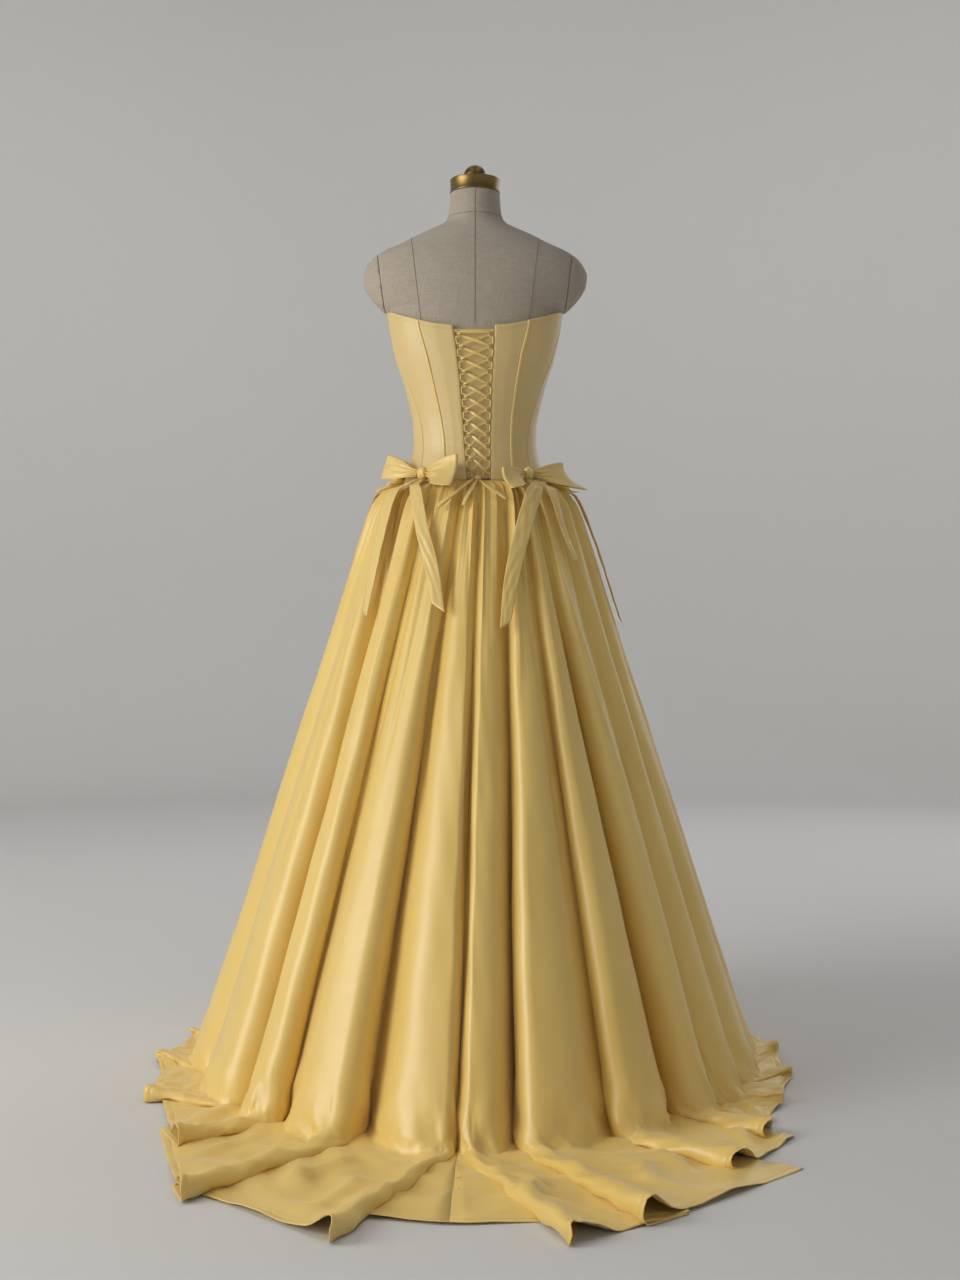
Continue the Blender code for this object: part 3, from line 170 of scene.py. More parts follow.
# Form: z, half width, reach behind, reach before, squareness.
FORM_LOWER = (
    (0.862, 0.128, 0.098, 0.090, 2.0), (0.870, 0.143, 0.113, 0.104, 2.0),
    (0.910, 0.153, 0.125, 0.114, 2.0), (1.010, 0.145, 0.119, 0.113, 2.0),
)
FORM_UPPER = (
    (1.382, 0.1600, 0.1000, 0.1265, 2.40), (1.390, 0.1760, 0.1000, 0.1240, 2.30),
    (1.402, 0.1890, 0.1000, 0.1210, 2.20), (1.416, 0.2000, 0.1000, 0.1170, 2.12),
    (1.431, 0.2075, 0.0995, 0.1125, 2.06), (1.450, 0.2100, 0.0980, 0.1065, 2.00),
    (1.469, 0.2030, 0.0945, 0.0990, 2.00), (1.484, 0.1900, 0.0895, 0.0920, 2.00),
    (1.495, 0.1725, 0.0840, 0.0850, 2.05), (1.509, 0.1410, 0.0765, 0.0770, 2.10),
    (1.524, 0.1120, 0.0680, 0.0680, 2.10), (1.537, 0.0830, 0.0590, 0.0590, 2.05),
    (1.548, 0.0610, 0.0530, 0.0530, 2.00), (1.562, 0.0505, 0.0495, 0.0495, 2.00),
    (1.606, 0.0460, 0.0460, 0.0460, 2.00),
)
CHEST_Z, NECK_Z = 1.372, 1.606             # from here up the form leaves the bodice, and its top
ARM_PLANE = (0.1660, 1.370, 0.1810, 1.490)    # x and z of two points of the plane that cuts the shoulders
ARM_GAP = 0.0005          # the plane's distance to the torso, and to the plate

LOOP_ROWS, LOOP_TOP_Z, LOOP_PITCH = 12, 1.3240, 0.0224
LOOP_REACH = 0.0104       # how far a loop stands into the gap
LACE_THROAT = 0.0027      # width of the lace where a loop pinches it
LACE_WALL = 0.0008
LACE_KNOT = (-0.0050, 1.0640)    # x and z
# How far a bow's loop stands out from the hip at its end.
STAND_OUT = 0.034

CAMERA_PLACE, CAMERA_LENS, CAMERA_SENSOR = (-0.0094, 3.0, 0.77), 45.0, 36.0
# Soft lights: name, place, aim, size, power (W), colour. Then the four washes on the wall and their power.
LIGHTS = (
    ("window_light", (3.4, 1.9, 1.9), (0.0, 0.2, 0.7), (2.2, 2.4), 98.0, "FBFAF6"),
    ("room_fill", (-2.6, -3.4, 2.6), (0.0, 0.0, 0.7), (3.0, 3.0), 22.0, "F4F6FF"),
)
WALL_WASHES = (60.0, 60.0, 84.0, 40.0)
WASH_REACH, WASH_Z, WASH_TILT = 1.2, 4.4, 62.0
AIR_COLOUR, AIR_STRENGTH, PAPER_COLOUR = "E6E6EA", 0.06, "D6D5D3"


def linear(code):
    """sRGB hex to linear RGB."""
    parts = [int(code[i:i + 2], 16) / 255.0 for i in (0, 2, 4)]
    return tuple(c / 12.92 if c <= 0.04045 else ((c + 0.055) / 1.055) ** 2.4 for c in parts)


class GownSizes(bpy.types.PropertyGroup):
    """Sizes a maker would change."""
    cloth_wall: FloatProperty(name="Skirt cloth", default=0.0010, unit="LENGTH",
                              description="Thickness of the skirt's satin with its underlay")
    bodice_wall: FloatProperty(name="Bodice wall", description="Thickness of the boned bodice",
                               default=0.0025, unit="LENGTH")
    ribbon_wall: FloatProperty(name="Ribbon", description="Thickness of the bows' ribbon", default=0.0008,
                               unit="LENGTH")
    lace_width: FloatProperty(name="Lace width", description="Width of the flat satin lace", default=0.0055,
                              unit="LENGTH")
    loop_radius: FloatProperty(name="Loop radius", description="Radius of the rouleau loops", default=0.0014,
                               unit="LENGTH")
    gather: FloatProperty(name="Gathers", description="Depth of the gathers at the waist seam, as a factor",
                          default=1.0, min=0.0, max=2.0)
    crease: FloatProperty(name="Creases", description="Depth of the creases in the cloth, as a factor",
                          default=1.0, min=0.0, max=2.0)
    stitch: FloatProperty(name="Stitch length", description="Spacing of the stitches at the hem and edges",
                          default=0.005, unit="LENGTH")
    steep_steps: IntProperty(name="Steep flank", description="Columns of the mesh on a fold's steep side",
                             default=20, min=4)
    gentle_steps: IntProperty(name="Gentle flank", description="Columns of the mesh on a fold's gentle side",
                              default=28, min=6)


class GownColours(bpy.types.PropertyGroup):
    """Colours of the cloths and the metals."""
    skirt: FloatVectorProperty(name="Skirt satin", description="Butter-yellow duchesse satin",
                               subtype="COLOR", size=3, default=linear("EBCA73"))
    bodice: FloatVectorProperty(name="Bodice satin", description="The same satin, boned and seen flat on",
                                subtype="COLOR", size=3, default=linear("E0C586"))
    ribbon: FloatVectorProperty(name="Ribbon satin", description="Ribbon of the bows, loops and lace",
                                subtype="COLOR", size=3, default=linear("EACB7C"))
    linen: FloatVectorProperty(name="Form linen", description="Unbleached warm grey linen", subtype="COLOR",
                               size=3, default=linear("B3A89A"))
    brass: FloatVectorProperty(name="Antique brass", description="Neck cap and finial", subtype="COLOR",
                               size=3, default=linear("9A8556"))
    steel: FloatVectorProperty(name="Stand paint", description="Pole and base", subtype="COLOR",
                               size=3, default=linear("3A3836"))


# Curves and rings

def curve_value(table, column, at):
    """Smooth values of one column of a table whose first column is the position."""
    xs = np.array([row[0] for row in table])
    ys = np.array([row[column] for row in table])
    at = np.clip(at, xs[0], xs[-1])
    i = np.clip(np.searchsorted(xs, at) - 1, 0, len(xs) - 2)
    step = np.diff(ys) / np.diff(xs)
    slope = np.empty(len(xs))
    slope[0], slope[-1] = step[0], step[-1]
    both = step[:-1] * step[1:]
    slope[1:-1] = np.where(both <= 0, 0.0, 2 * both / np.where(both <= 0, 1.0, step[:-1] + step[1:]))
    h = xs[i + 1] - xs[i]
    u = (at - xs[i]) / h
    return ((1 + 2 * u) * (1 - u) ** 2 * ys[i] + u * (1 - u) ** 2 * h * slope[i]
            + u * u * (3 - 2 * u) * ys[i + 1] + u * u * (u - 1) * h * slope[i + 1])


def oval(az, half_width, back, front, power=2.0, out=0.0):
    """Points of oval rings at azimuths in degrees, moved out along the ring's normal."""
    s, c = np.sin(np.radians(az)), np.cos(np.radians(az))
    reach = np.where(c > 0, back, front)
    u, v = np.abs(s) ** (2 / power), np.abs(c) ** (2 / power)
    nx = np.sign(s) * u ** (power - 1) / half_width
    ny = np.sign(c) * v ** (power - 1) / reach
    size = np.hypot(nx, ny)
    return np.stack([np.sign(s) * half_width * u + out * nx / size,
                     np.sign(c) * reach * v + out * ny / size], axis=-1)


def bodice_ring(z):
    """Half width, reach behind, reach before and squareness of the bodice at a height."""
    return tuple(curve_value(BODICE, k, z) for k in (1, 2, 3, 4))


def bodice_points(az, z, out=0.0):
    """Points of the bodice's face at azimuths and heights."""
    xy = oval(az, *bodice_ring(z), out=out)
    heights = np.broadcast_to(np.asarray(z, float)[..., None], xy.shape[:-1] + (1,))
    return np.concatenate([xy, heights], axis=-1)


def az_of_x(x, z):
    """Azimuth of the bodice's back at x from its middle."""
    half_width, _, _, power = bodice_ring(z)
    share = np.minimum(1.0, np.abs(x) / half_width) ** (power / 2)
    return np.degrees(np.sign(x) * np.arcsin(share))


def back_point(x, z, out=0.0):
    """Point of the bodice's back at x and z."""
    return bodice_points(az_of_x(x, z), np.asarray(z, float), out)


def seam_az(values, is_x, sign, z):
    """Azimuth of a seam at a height, its values given as x or in degrees."""
    value = np.interp(z, SEAM_Z, values)
    return sign * (az_of_x(value, z) if is_x else value)


def top_edge(az):
    """Height of the bodice's top edge."""
    return curve_value(TOP_EDGE, 1, np.abs(np.where(az > 180, 360 - az, az)))


def skirt_size(z):
    """Half width, reach behind and reach before of the smooth skirt at a height."""
    u = (SKIRT_TOP_Z - z) / SKIRT_TOP_Z
    return tuple(a + (b - a) * u for a, b in zip(SKIRT_HIP, SKIRT_FLOOR))


def waist_join(z):
    """Share of the skirt's own size above the hip, where it runs in to the waist seam."""
    return np.interp(z, (HIP_Z, 1.025, 1.046, WAIST_SEAM_Z), (1.0, 0.95, 0.72, 0.0))


def waves(u, v, seed, count=7):
    """Soft uneven field between about -1 and 1, a sum of crossing waves."""
    turn = np.random.default_rng(seed)
    total = np.zeros(np.broadcast(u, v).shape)
    for _ in range(count):
        fu, fv, phase = turn.uniform(0.5, 1.6), turn.uniform(0.4, 1.5), turn.uniform(0, 6.28)
        total += np.sin(6.28 * (fu * u + turn.choice((-1, 1)) * fv * v) + phase)
    return total / (0.75 * count)


def path_curve(points, per_span):
    """Smooth path through points, with per_span steps between one and the next."""
    points = np.asarray(points, float)
    ends = np.concatenate([[2 * points[0] - points[1]], points, [2 * points[-1] - points[-2]]])
    out = []
    for i in range(1, len(ends) - 2):
        a, b, c, d = ends[i - 1:i + 3]
        for k in range(per_span):
            t = k / per_span
            out.append(0.5 * (2 * b + (c - a) * t + (2 * a - 5 * b + 4 * c - d) * t * t
                              + (3 * b - a - 3 * c + d) * t ** 3))
    out.append(points[-1])
    return np.array(out)


# Meshes

def grid_normals(grid, around=False):
    """Unit normals at the points of a grid, which may close on itself."""
    grid = np.asarray(grid, float)
    ring = np.concatenate([grid, grid[:, :1]], axis=1) if around else grid
    face = np.cross(ring[1:, 1:] - ring[:-1, :-1], ring[1:, :-1] - ring[:-1, 1:])
    face /= np.maximum(np.linalg.norm(face, axis=2, keepdims=True), 1e-12)
    total = np.zeros_like(ring)
    total[:-1, :-1] += face
    total[1:, :-1] += face
    total[:-1, 1:] += face
    total[1:, 1:] += face
    if around:
        total[:, 0] += total[:, -1]
        total = total[:, :-1]
    return total / np.maximum(np.linalg.norm(total, axis=2, keepdims=True), 1e-12)


def add_piece(name, mesh, material, nodes=()):
    """Adds a finished piece to the scene and to the frame, in the place of its CAD nodes."""
    mesh.name = name
    obj = bpy.data.objects.new(name, mesh)
    bpy.context.scene.collection.objects.link(obj)
    mesh.materials.clear()
    mesh.materials.append(material)
    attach(obj, "root")
    if nodes:
        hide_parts(*nodes)
    return obj


def quad_mesh(verts, quads, flat_from, uv):
    """Mesh of quads, turned outwards; the faces from flat_from on are the cut edges."""
    verts, quads = np.asarray(verts, float), np.asarray(quads, int)
    a, b, c, d = (verts[quads[:, k]] for k in range(4))
    volume = (np.einsum("ij,ij->i", a, np.cross(b, c)) + np.einsum("ij,ij->i", a, np.cross(c, d))).sum()
    if volume < 0:
        quads = quads[:, ::-1]
    mesh = bpy.data.meshes.new("piece")
    mesh.vertices.add(len(verts))
    mesh.vertices.foreach_set("co", verts.ravel())
    mesh.loops.add(quads.size)
    mesh.loops.foreach_set("vertex_index", quads.ravel())
    mesh.polygons.add(len(quads))
    mesh.polygons.foreach_set("loop_start", np.arange(len(quads)) * 4)
    mesh.update(calc_edges=True)
    mesh.polygons.foreach_set("use_smooth", np.arange(len(quads)) < flat_from)
    layer = mesh.uv_layers.new(name="cloth")
    layer.data.foreach_set("uv", uv[quads.ravel()].ravel())
    mesh.validate()
    mesh.update()
    return mesh


def wall_mesh(face, back):
    """Closed thin wall between two grids, with UVs in metres along and across the cloth."""
    rows, cols = face.shape[:2]
    half = rows * cols
    at = np.arange(half).reshape(rows, cols)
    front = np.stack([at[:-1, :-1], at[1:, :-1], at[1:, 1:], at[:-1, 1:]], axis=-1).reshape(-1, 4)
    rims = []
    for edge in (at[0], at[:, -1], at[-1, ::-1], at[::-1, 0]):
        rims.append(np.stack([edge[:-1], edge[1:], edge[1:] + half, edge[:-1] + half], axis=-1))
    quads = np.concatenate([front, front[:, ::-1] + half] + rims)
    across = np.linalg.norm(np.diff(face, axis=1), axis=2)
    across = np.concatenate([np.zeros((rows, 1)), np.cumsum(across, axis=1)], axis=1)
    u = across.mean(axis=0)[None, :].repeat(rows, axis=0)
    along = np.linalg.norm(np.diff(face, axis=0), axis=2)
    v = np.concatenate([np.zeros((1, cols)), np.cumsum(along, axis=0)], axis=0)
    uv = np.stack([u, v], axis=-1).reshape(-1, 2)
    verts = np.concatenate([face.reshape(-1, 3), back.reshape(-1, 3)])
    return quad_mesh(verts, quads, 2 * len(front), np.concatenate([uv, uv]))


def sheet_mesh(grid, wall):
    """Thin wall centred on a grid of points."""
    out = grid_normals(grid)
    return wall_mesh(grid + out * wall / 2, grid - out * wall / 2)


def capped_faces(rows, cols):
    """Faces of a stack of closed rings with a cap at each end."""
    faces = [tuple(range(cols)), tuple((rows - 1) * cols + k for k in range(cols - 1, -1, -1))]
    for r in range(rows - 1):
        for k in range(cols):
            n = (k + 1) % cols
            faces.append((r * cols + k, (r + 1) * cols + k, (r + 1) * cols + n, r * cols + n))
    return faces


def poly_mesh(verts, faces):
    """Closed mesh with its faces turned outwards, smooth but for its caps."""
    mesh = bpy.data.meshes.new("piece")
    mesh.from_pydata([tuple(map(float, v)) for v in verts], [], faces)
    bm = bmesh.new()
    bm.from_mesh(mesh)
    bmesh.ops.remove_doubles(bm, verts=bm.verts, dist=1e-6)
    bmesh.ops.recalc_face_normals(bm, faces=bm.faces)
    if bm.calc_volume(signed=True) < 0:
        bmesh.ops.reverse_faces(bm, faces=bm.faces)
    for face in bm.faces:
        face.smooth = len(face.verts) <= 4
    bm.to_mesh(mesh)
    bm.free()
    return mesh


# Nodes

def set_inputs(tree, node, inputs):
    """Gives a node its inputs, each a socket to link or a value to set."""
    for key, value in inputs.items():
        if isinstance(value, bpy.types.NodeSocket):
            tree.links.new(value, node.inputs[key])
        else:
            node.inputs[key].default_value = value


def add_node(tree, kind, inputs=None, **settings):
    """Adds a node with its settings and inputs."""
    node = tree.nodes.new(kind)
    for key, value in settings.items():
        setattr(node, key, value)
    set_inputs(tree, node, inputs or {})
    return node


def new_material(name, colour):
    """New material with its node tree and its shader node."""
    mat = bpy.data.materials.new(name)
    mat.use_nodes = True
    mat.diffuse_color = (*colour, 1.0)
    tree = mat.node_tree
    return mat, tree, tree.nodes["Principled BSDF"]


def shade(colour, factor):
    """Colour with each channel multiplied, as RGBA."""
    return tuple(min(1.0, c * f) for c, f in zip(colour, factor)) + (1.0,)


def duchesse_satin(name, colour, roughness=0.40, sheen=0.42):
    """Duchesse satin, warp-faced: long floats down the cloth give a soft broad shine along the folds."""
    mat, tree, shader = new_material(name, colour)
    place = add_node(tree, "ShaderNodeTexCoord").outputs["UV"]
    # Warp threads of 0.3 mm drawn as coarse as 0.45 mm (2200 to the metre) so that they show close up.
    warp_place = add_node(tree, "ShaderNodeMapping", {"Vector": place, "Scale": (2200.0, 55.0, 1.0)})
    warp = add_node(tree, "ShaderNodeTexNoise", noise_dimensions="2D", inputs={
        "Vector": warp_place.outputs["Vector"], "Scale": 1.0, "Detail": 1.0})
    # Slubs run across the cloth, 5 mm apart and 125 mm long.
    slub_place = add_node(tree, "ShaderNodeMapping", {"Vector": place, "Scale": (8.0, 190.0, 1.0)})
    slub = add_node(tree, "ShaderNodeTexNoise", noise_dimensions="2D", inputs={
        "Vector": slub_place.outputs["Vector"], "Scale": 1.0, "Detail": 2.0})
    cloud = add_node(tree, "ShaderNodeTexNoise", {"Vector": place, "Scale": 5.0, "Detail": 3.0},
                     noise_dimensions="2D")
    tint = add_node(tree, "ShaderNodeMix", data_type="RGBA", inputs={
        0: cloud.outputs["Fac"], 6: shade(colour, (0.95, 0.93, 0.86)), 7: shade(colour, (1.04, 1.05, 1.10))})
    gloss = add_node(tree, "ShaderNodeMapRange", {
        "Value": slub.outputs["Fac"], "To Min": roughness - 0.05, "To Max": roughness + 0.07})
    fine = add_node(tree, "ShaderNodeBump", {
        "Height": warp.outputs["Fac"], "Strength": 0.10, "Distance": 0.0004})
    soft = add_node(tree, "ShaderNodeBump", {
        "Height": slub.outputs["Fac"], "Strength": 0.10, "Distance": 0.0015,
        "Normal": fine.outputs["Normal"]})
    set_inputs(tree, shader, {
        "Base Color": tint.outputs[2], "Roughness": gloss.outputs["Result"], "Normal": soft.outputs["Normal"],
        "Sheen Weight": sheen, "Sheen Roughness": 0.35, "Sheen Tint": (1.0, 0.93, 0.75, 1.0),
        "Specular IOR Level": 0.65, "Coat Weight": 0.26, "Coat Roughness": 0.48})
    return mat


def plain_linen(name, colour):
    """Closely woven linen pulled over the form: matt, with uneven threads both ways."""
    mat, tree, shader = new_material(name, colour)
    place = add_node(tree, "ShaderNodeTexCoord").outputs["Object"]
    # Threads of 0.6 mm drawn as coarse as 1.6 mm (620 to the metre).
    threads = []
    for scale in ((60.0, 60.0, 620.0), (620.0, 620.0, 60.0)):
        run = add_node(tree, "ShaderNodeMapping", {"Vector": place, "Scale": scale})
        threads.append(add_node(tree, "ShaderNodeTexNoise", {
            "Vector": run.outputs["Vector"], "Scale": 1.0, "Detail": 2.0}).outputs["Fac"])
    weave = add_node(tree, "ShaderNodeMath", {0: threads[0], 1: threads[1]}, operation="ADD").outputs[0]
    cloud = add_node(tree, "ShaderNodeTexNoise", {"Vector": place, "Scale": 9.0, "Detail": 3.0})
    mixed = add_node(tree, "ShaderNodeMath", {0: weave, 1: cloud.outputs["Fac"]}, operation="ADD")
    ramp = add_node(tree, "ShaderNodeMapRange", {"Value": mixed.outputs[0], "From Min": 0.9, "From Max": 2.1})
    tint = add_node(tree, "ShaderNodeMix", data_type="RGBA", inputs={
        0: ramp.outputs["Result"], 6: shade(colour, (0.78, 0.77, 0.75)),
        7: shade(colour, (1.14, 1.14, 1.14))})
    bump = add_node(tree, "ShaderNodeBump", {"Height": weave, "Strength": 0.30, "Distance": 0.0008})
    set_inputs(tree, shader, {
        "Base Color": tint.outputs[2], "Normal": bump.outputs["Normal"], "Roughness": 0.88,
        "Sheen Weight": 0.10, "Specular IOR Level": 0.25})
    return mat


def antique_brass(name, colour):
    """Spun brass, lacquered and aged: satin shine with dull brown bloom."""
    mat, tree, shader = new_material(name, colour)
    place = add_node(tree, "ShaderNodeTexCoord").outputs["Object"]
    bloom = add_node(tree, "ShaderNodeTexNoise", {"Vector": place, "Scale": 60.0, "Detail": 4.0})
    stretched = add_node(tree, "ShaderNodeMapping", {"Vector": place, "Scale": (40.0, 40.0, 1500.0)})
    spin = add_node(tree, "ShaderNodeTexNoise", {"Vector": stretched.outputs["Vector"], "Scale": 1.0})
    tint = add_node(tree, "ShaderNodeMix", data_type="RGBA", inputs={
        0: bloom.outputs["Fac"], 6: shade(colour, (0.55, 0.50, 0.42)), 7: shade(colour, (1.15, 1.12, 1.05))})
    gloss = add_node(tree, "ShaderNodeMapRange", {
        "Value": bloom.outputs["Fac"], "To Min": 0.46, "To Max": 0.28})
    bump = add_node(tree, "ShaderNodeBump", {
        "Height": spin.outputs["Fac"], "Strength": 0.12, "Distance": 0.0003})
    set_inputs(tree, shader, {
        "Base Color": tint.outputs[2], "Roughness": gloss.outputs["Result"], "Normal": bump.outputs["Normal"],
        "Metallic": 1.0})
    return mat


def stand_paint(name, colour):
    """Steel under a dark satin stove enamel with a slight orange peel."""
    mat, tree, shader = new_material(name, colour)
    place = add_node(tree, "ShaderNodeTexCoord").outputs["Object"]
    peel = add_node(tree, "ShaderNodeTexNoise", {"Vector": place, "Scale": 420.0, "Detail": 2.0})
    gloss = add_node(tree, "ShaderNodeMapRange", {
        "Value": peel.outputs["Fac"], "To Min": 0.34, "To Max": 0.48})
    bump = add_node(tree, "ShaderNodeBump", {
        "Height": peel.outputs["Fac"], "Strength": 0.15, "Distance": 0.0003})
    set_inputs(tree, shader, {
        "Base Color": (*colour, 1.0), "Roughness": gloss.outputs["Result"], "Normal": bump.outputs["Normal"]})
    return mat


def studio_paper(name, code):
    """Seamless background paper: matt, and a little uneven in its gloss."""
    mat, tree, shader = new_material(name, linear(code))
    place = add_node(tree, "ShaderNodeTexCoord").outputs["Object"]
    cloud = add_node(tree, "ShaderNodeTexNoise", {"Vector": place, "Scale": 1.2, "Detail": 2.0})
    gloss = add_node(tree, "ShaderNodeMapRange", {
        "Value": cloud.outputs["Fac"], "To Min": 0.75, "To Max": 0.9})
    set_inputs(tree, shader, {
        "Base Color": (*linear(code), 1.0), "Roughness": gloss.outputs["Result"], "Specular IOR Level": 0.2})
    return mat


# Geometry Nodes

def new_tree(name, sizes):
    """Tree that takes an edge path, sizes and a material; gives it with its inputs and its curve."""
    tree = bpy.data.node_groups.new(name, "GeometryNodeTree")
    tree.is_modifier = True
    for label, kind in (("Path", "NodeSocketGeometry"), *sizes, ("Material", "NodeSocketMaterial")):
        tree.interface.new_socket(label, in_out="INPUT", socket_type=kind)
    tree.interface.new_socket("Finished", in_out="OUTPUT", socket_type="NodeSocketGeometry")
    given = add_node(tree, "NodeGroupInput").outputs
    line = add_node(tree, "GeometryNodeMeshToCurve", {"Mesh": given["Path"]})
    return tree, given, line.outputs[0]


def end_tree(tree, given, geometry):
    """Ends a tree with smooth, real geometry in its material."""
    smooth = add_node(tree, "GeometryNodeSetShadeSmooth", {"Geometry": geometry})
    real = add_node(tree, "GeometryNodeRealizeInstances", {"Geometry": smooth.outputs[0]})
    dyed = add_node(tree, "GeometryNodeSetMaterial", {
        "Geometry": real.outputs[0], "Material": given["Material"]})
    add_node(tree, "NodeGroupOutput", {"Finished": dyed.outputs[0]})


def tube_tree():
    """Tube along an edge path: rouleau loops, piping and seams."""
    tree, given, line = new_tree("tube_along_path", (("Radius", "NodeSocketFloat"),
                                                     ("Sides", "NodeSocketInt")))
    ring = add_node(tree, "GeometryNodeCurvePrimitiveCircle", {
        "Radius": given["Radius"], "Resolution": given["Sides"]})
    tube = add_node(tree, "GeometryNodeCurveToMesh", {
        "Curve": line, "Profile Curve": ring.outputs[0], "Fill Caps": True})
    end_tree(tree, given, tube.outputs[0])


def stitch_tree():
    """Stitches along an edge path, one small oval bead of thread at each pitch."""
    tree, given, line = new_tree("stitches_along_path", (("Pitch", "NodeSocketFloat"),
                                                         ("Thread", "NodeSocketFloat")))
    even = add_node(tree, "GeometryNodeResampleCurve", {"Curve": line, "Length": given["Pitch"]},
                    mode="LENGTH")
    bead = add_node(tree, "GeometryNodeMeshUVSphere", {"Segments": 6, "Rings": 4, "Radius": 1.0})
    tangent = add_node(tree, "GeometryNodeInputTangent")
    turn = add_node(tree, "FunctionNodeAlignRotationToVector", {"Vector": tangent.outputs[0]}, axis="X")
    # A stitch is twice this share of the pitch long, so a third of the line is bare between two.
    half_length = add_node(tree, "ShaderNodeMath", {0: given["Pitch"], 1: 0.34}, operation="MULTIPLY")
    size = add_node(tree, "ShaderNodeCombineXYZ", {
        "X": half_length.outputs[0], "Y": given["Thread"], "Z": given["Thread"]})
    sown = add_node(tree, "GeometryNodeInstanceOnPoints", {
        "Points": even.outputs[0], "Instance": bead.outputs[0], "Rotation": turn.outputs[0],
        "Scale": size.outputs[0]})
    end_tree(tree, given, sown.outputs[0])


def along_paths(name, paths, tree_name, sizes, material, nodes=()):
    """Runs a tree over open paths and keeps the result as a plain mesh."""
    verts, edges = [], []
    for path in paths:
        # Points closer than 0.02 mm to the one before give the curve no direction and are left out.
        step = np.linalg.norm(np.diff(path, axis=0), axis=1)
        path = path[np.concatenate([[True], step > 2e-5])]
        start = len(verts)
        verts += [tuple(map(float, p)) for p in path]
        edges += [(start + k, start + k + 1) for k in range(len(path) - 1)]
    mesh = bpy.data.meshes.new(name + "_path")
    mesh.from_pydata(verts, edges, [])
    carrier = bpy.data.objects.new(name + "_carrier", mesh)
    bpy.context.scene.collection.objects.link(carrier)
    modifier = carrier.modifiers.new("along", "NODES")
    tree = bpy.data.node_groups[tree_name]
    modifier.node_group = tree
    inputs = {**sizes, "Material": material}
    for item in tree.interface.items_tree:
        if item.item_type == "SOCKET" and item.in_out == "INPUT" and item.name in inputs:
            modifier[item.identifier] = inputs[item.name]
    view = bpy.context.evaluated_depsgraph_get()
    result = bpy.data.meshes.new_from_object(carrier.evaluated_get(view), depsgraph=view)
    bpy.data.objects.remove(carrier, do_unlink=True)
    return add_piece(name, result, material, nodes)


# Skirt

def hem_point(az, reach):
    """Point on the floor at an azimuth and a reach."""
    t = np.radians(az)
    return np.stack([reach * np.sin(t), reach * np.cos(t)], axis=-1)


def fold_end(foot, under, ridge, lift, s):
    """Hem of a fold's steep side: in under the fold along the floor, then curled up round its edge."""
    way = (ridge - under) / np.linalg.norm(ridge - under)
    radius = lift / 2
    centre = ridge - way * radius
    first, second = np.linalg.norm(under - foot), np.linalg.norm(centre - under)
    share = np.clip(s / 0.45, 0, 1) * (first + second)
    along = np.clip(share / max(first, 1e-6), 0, 1) if first > 1e-6 else np.ones(len(s))
    beyond = np.clip((share - first) / second, 0, 1)
    low = foot + (under - foot) * along[:, None] + (centre - under) * beyond[:, None]
    turn = np.pi * np.clip((s - 0.45) / 0.55, 0, 1)
    xy = low + way * (radius * np.sin(turn))[:, None]
    return xy, 0.0012 * np.clip(s / 0.2, 0, 1) + (radius - 0.0006) * (1 - np.cos(turn)), centre


def half_columns(sign, folds, sizes, front_from):
    """Columns of one half of the skirt as arrays, and the first column of each fold."""
    parts, marks, count = [], [], 0
    for i, row in enumerate(folds):
        foot_hip, foot_floor, ridge_hip, ridge_floor, rise, tuck = row[:6]
        foot_az, foot_r, ridge_az, ridge_r, stand = row[6:]
        thin = FRONT_SHARE if i >= front_from else 1.0
        steep, gentle = int(sizes.steep_steps * thin), int(sizes.gentle_steps * thin)
        marks.append(count)
        count += steep + gentle
        # Steep flank: from the fold's foot, tucked in under it, up to its ridge.
        s = np.arange(steep) / steep
        swing = tuck * np.sin(np.pi * s)
        sink = 0.65 * 0.5 * (1 + np.cos(np.pi * s)) + 0.35 * (1 - np.sin(0.5 * np.pi * s))
        foot, ridge = hem_point(foot_az, foot_r), hem_point(ridge_az, ridge_r)
        under = hem_point(*UNDER[sign][i]) if i < len(UNDER[sign]) else foot
        hem, lift, top = fold_end(foot, under, ridge, stand, s)
        parts.append({
            "hip_az": foot_hip + (ridge_hip - foot_hip) * s - 0.35 * swing,
            "floor_az": foot_floor + (ridge_floor - foot_floor) * s - swing,
            "hip_sink": HIP_RISE * sink, "floor_sink": rise * sink,
            "hem": hem, "lift": lift, "phase": i * 3 + s})
        # Gentle flank: from the ridge down to the foot of the next fold.
        s = (np.arange(gentle) / gentle) ** 1.3
        if i + 1 < len(folds):
            next_hip, next_floor, _, _, rise, _, next_az, next_r = folds[i + 1][:8]
        else:
            next_hip, next_floor, next_az, next_r = FRONT_FOOT
        sink = 0.75 * (0.5 * (1 - np.cos(np.pi * s))) ** 2.6 + 0.25 * s ** 1.6
        after_foot = hem_point(next_az, next_r)
        beyond = s * np.linalg.norm(after_foot - top)
        parts.append({
            "hip_az": ridge_hip + (next_hip - ridge_hip) * s,
            "floor_az": ridge_floor + (next_floor - ridge_floor) * s,
            "hip_sink": HIP_RISE * sink, "floor_sink": rise * sink,
            "hem": top + (after_foot - top) * s[:, None],
            "lift": stand * (0.82 * np.exp(-(beyond / 0.034) ** 2) + 0.18 * (1 - s) ** 2),
            "phase": i * 3 + 1 + 2 * s})
    joined = {k: np.concatenate([p[k] for p in parts]) for k in parts[0]}
    mirror = np.array((sign, 1.0))
    joined["hip"] = oval(joined["hip_az"], *skirt_size(HIP_Z), out=-joined["hip_sink"]) * mirror
    joined["floor"] = oval(joined["floor_az"], *SKIRT_FLOOR, out=-joined["floor_sink"]) * mirror
    joined["hem"] = joined["hem"] * mirror
    joined["az"] = sign * joined["hip_az"]
    return joined, marks


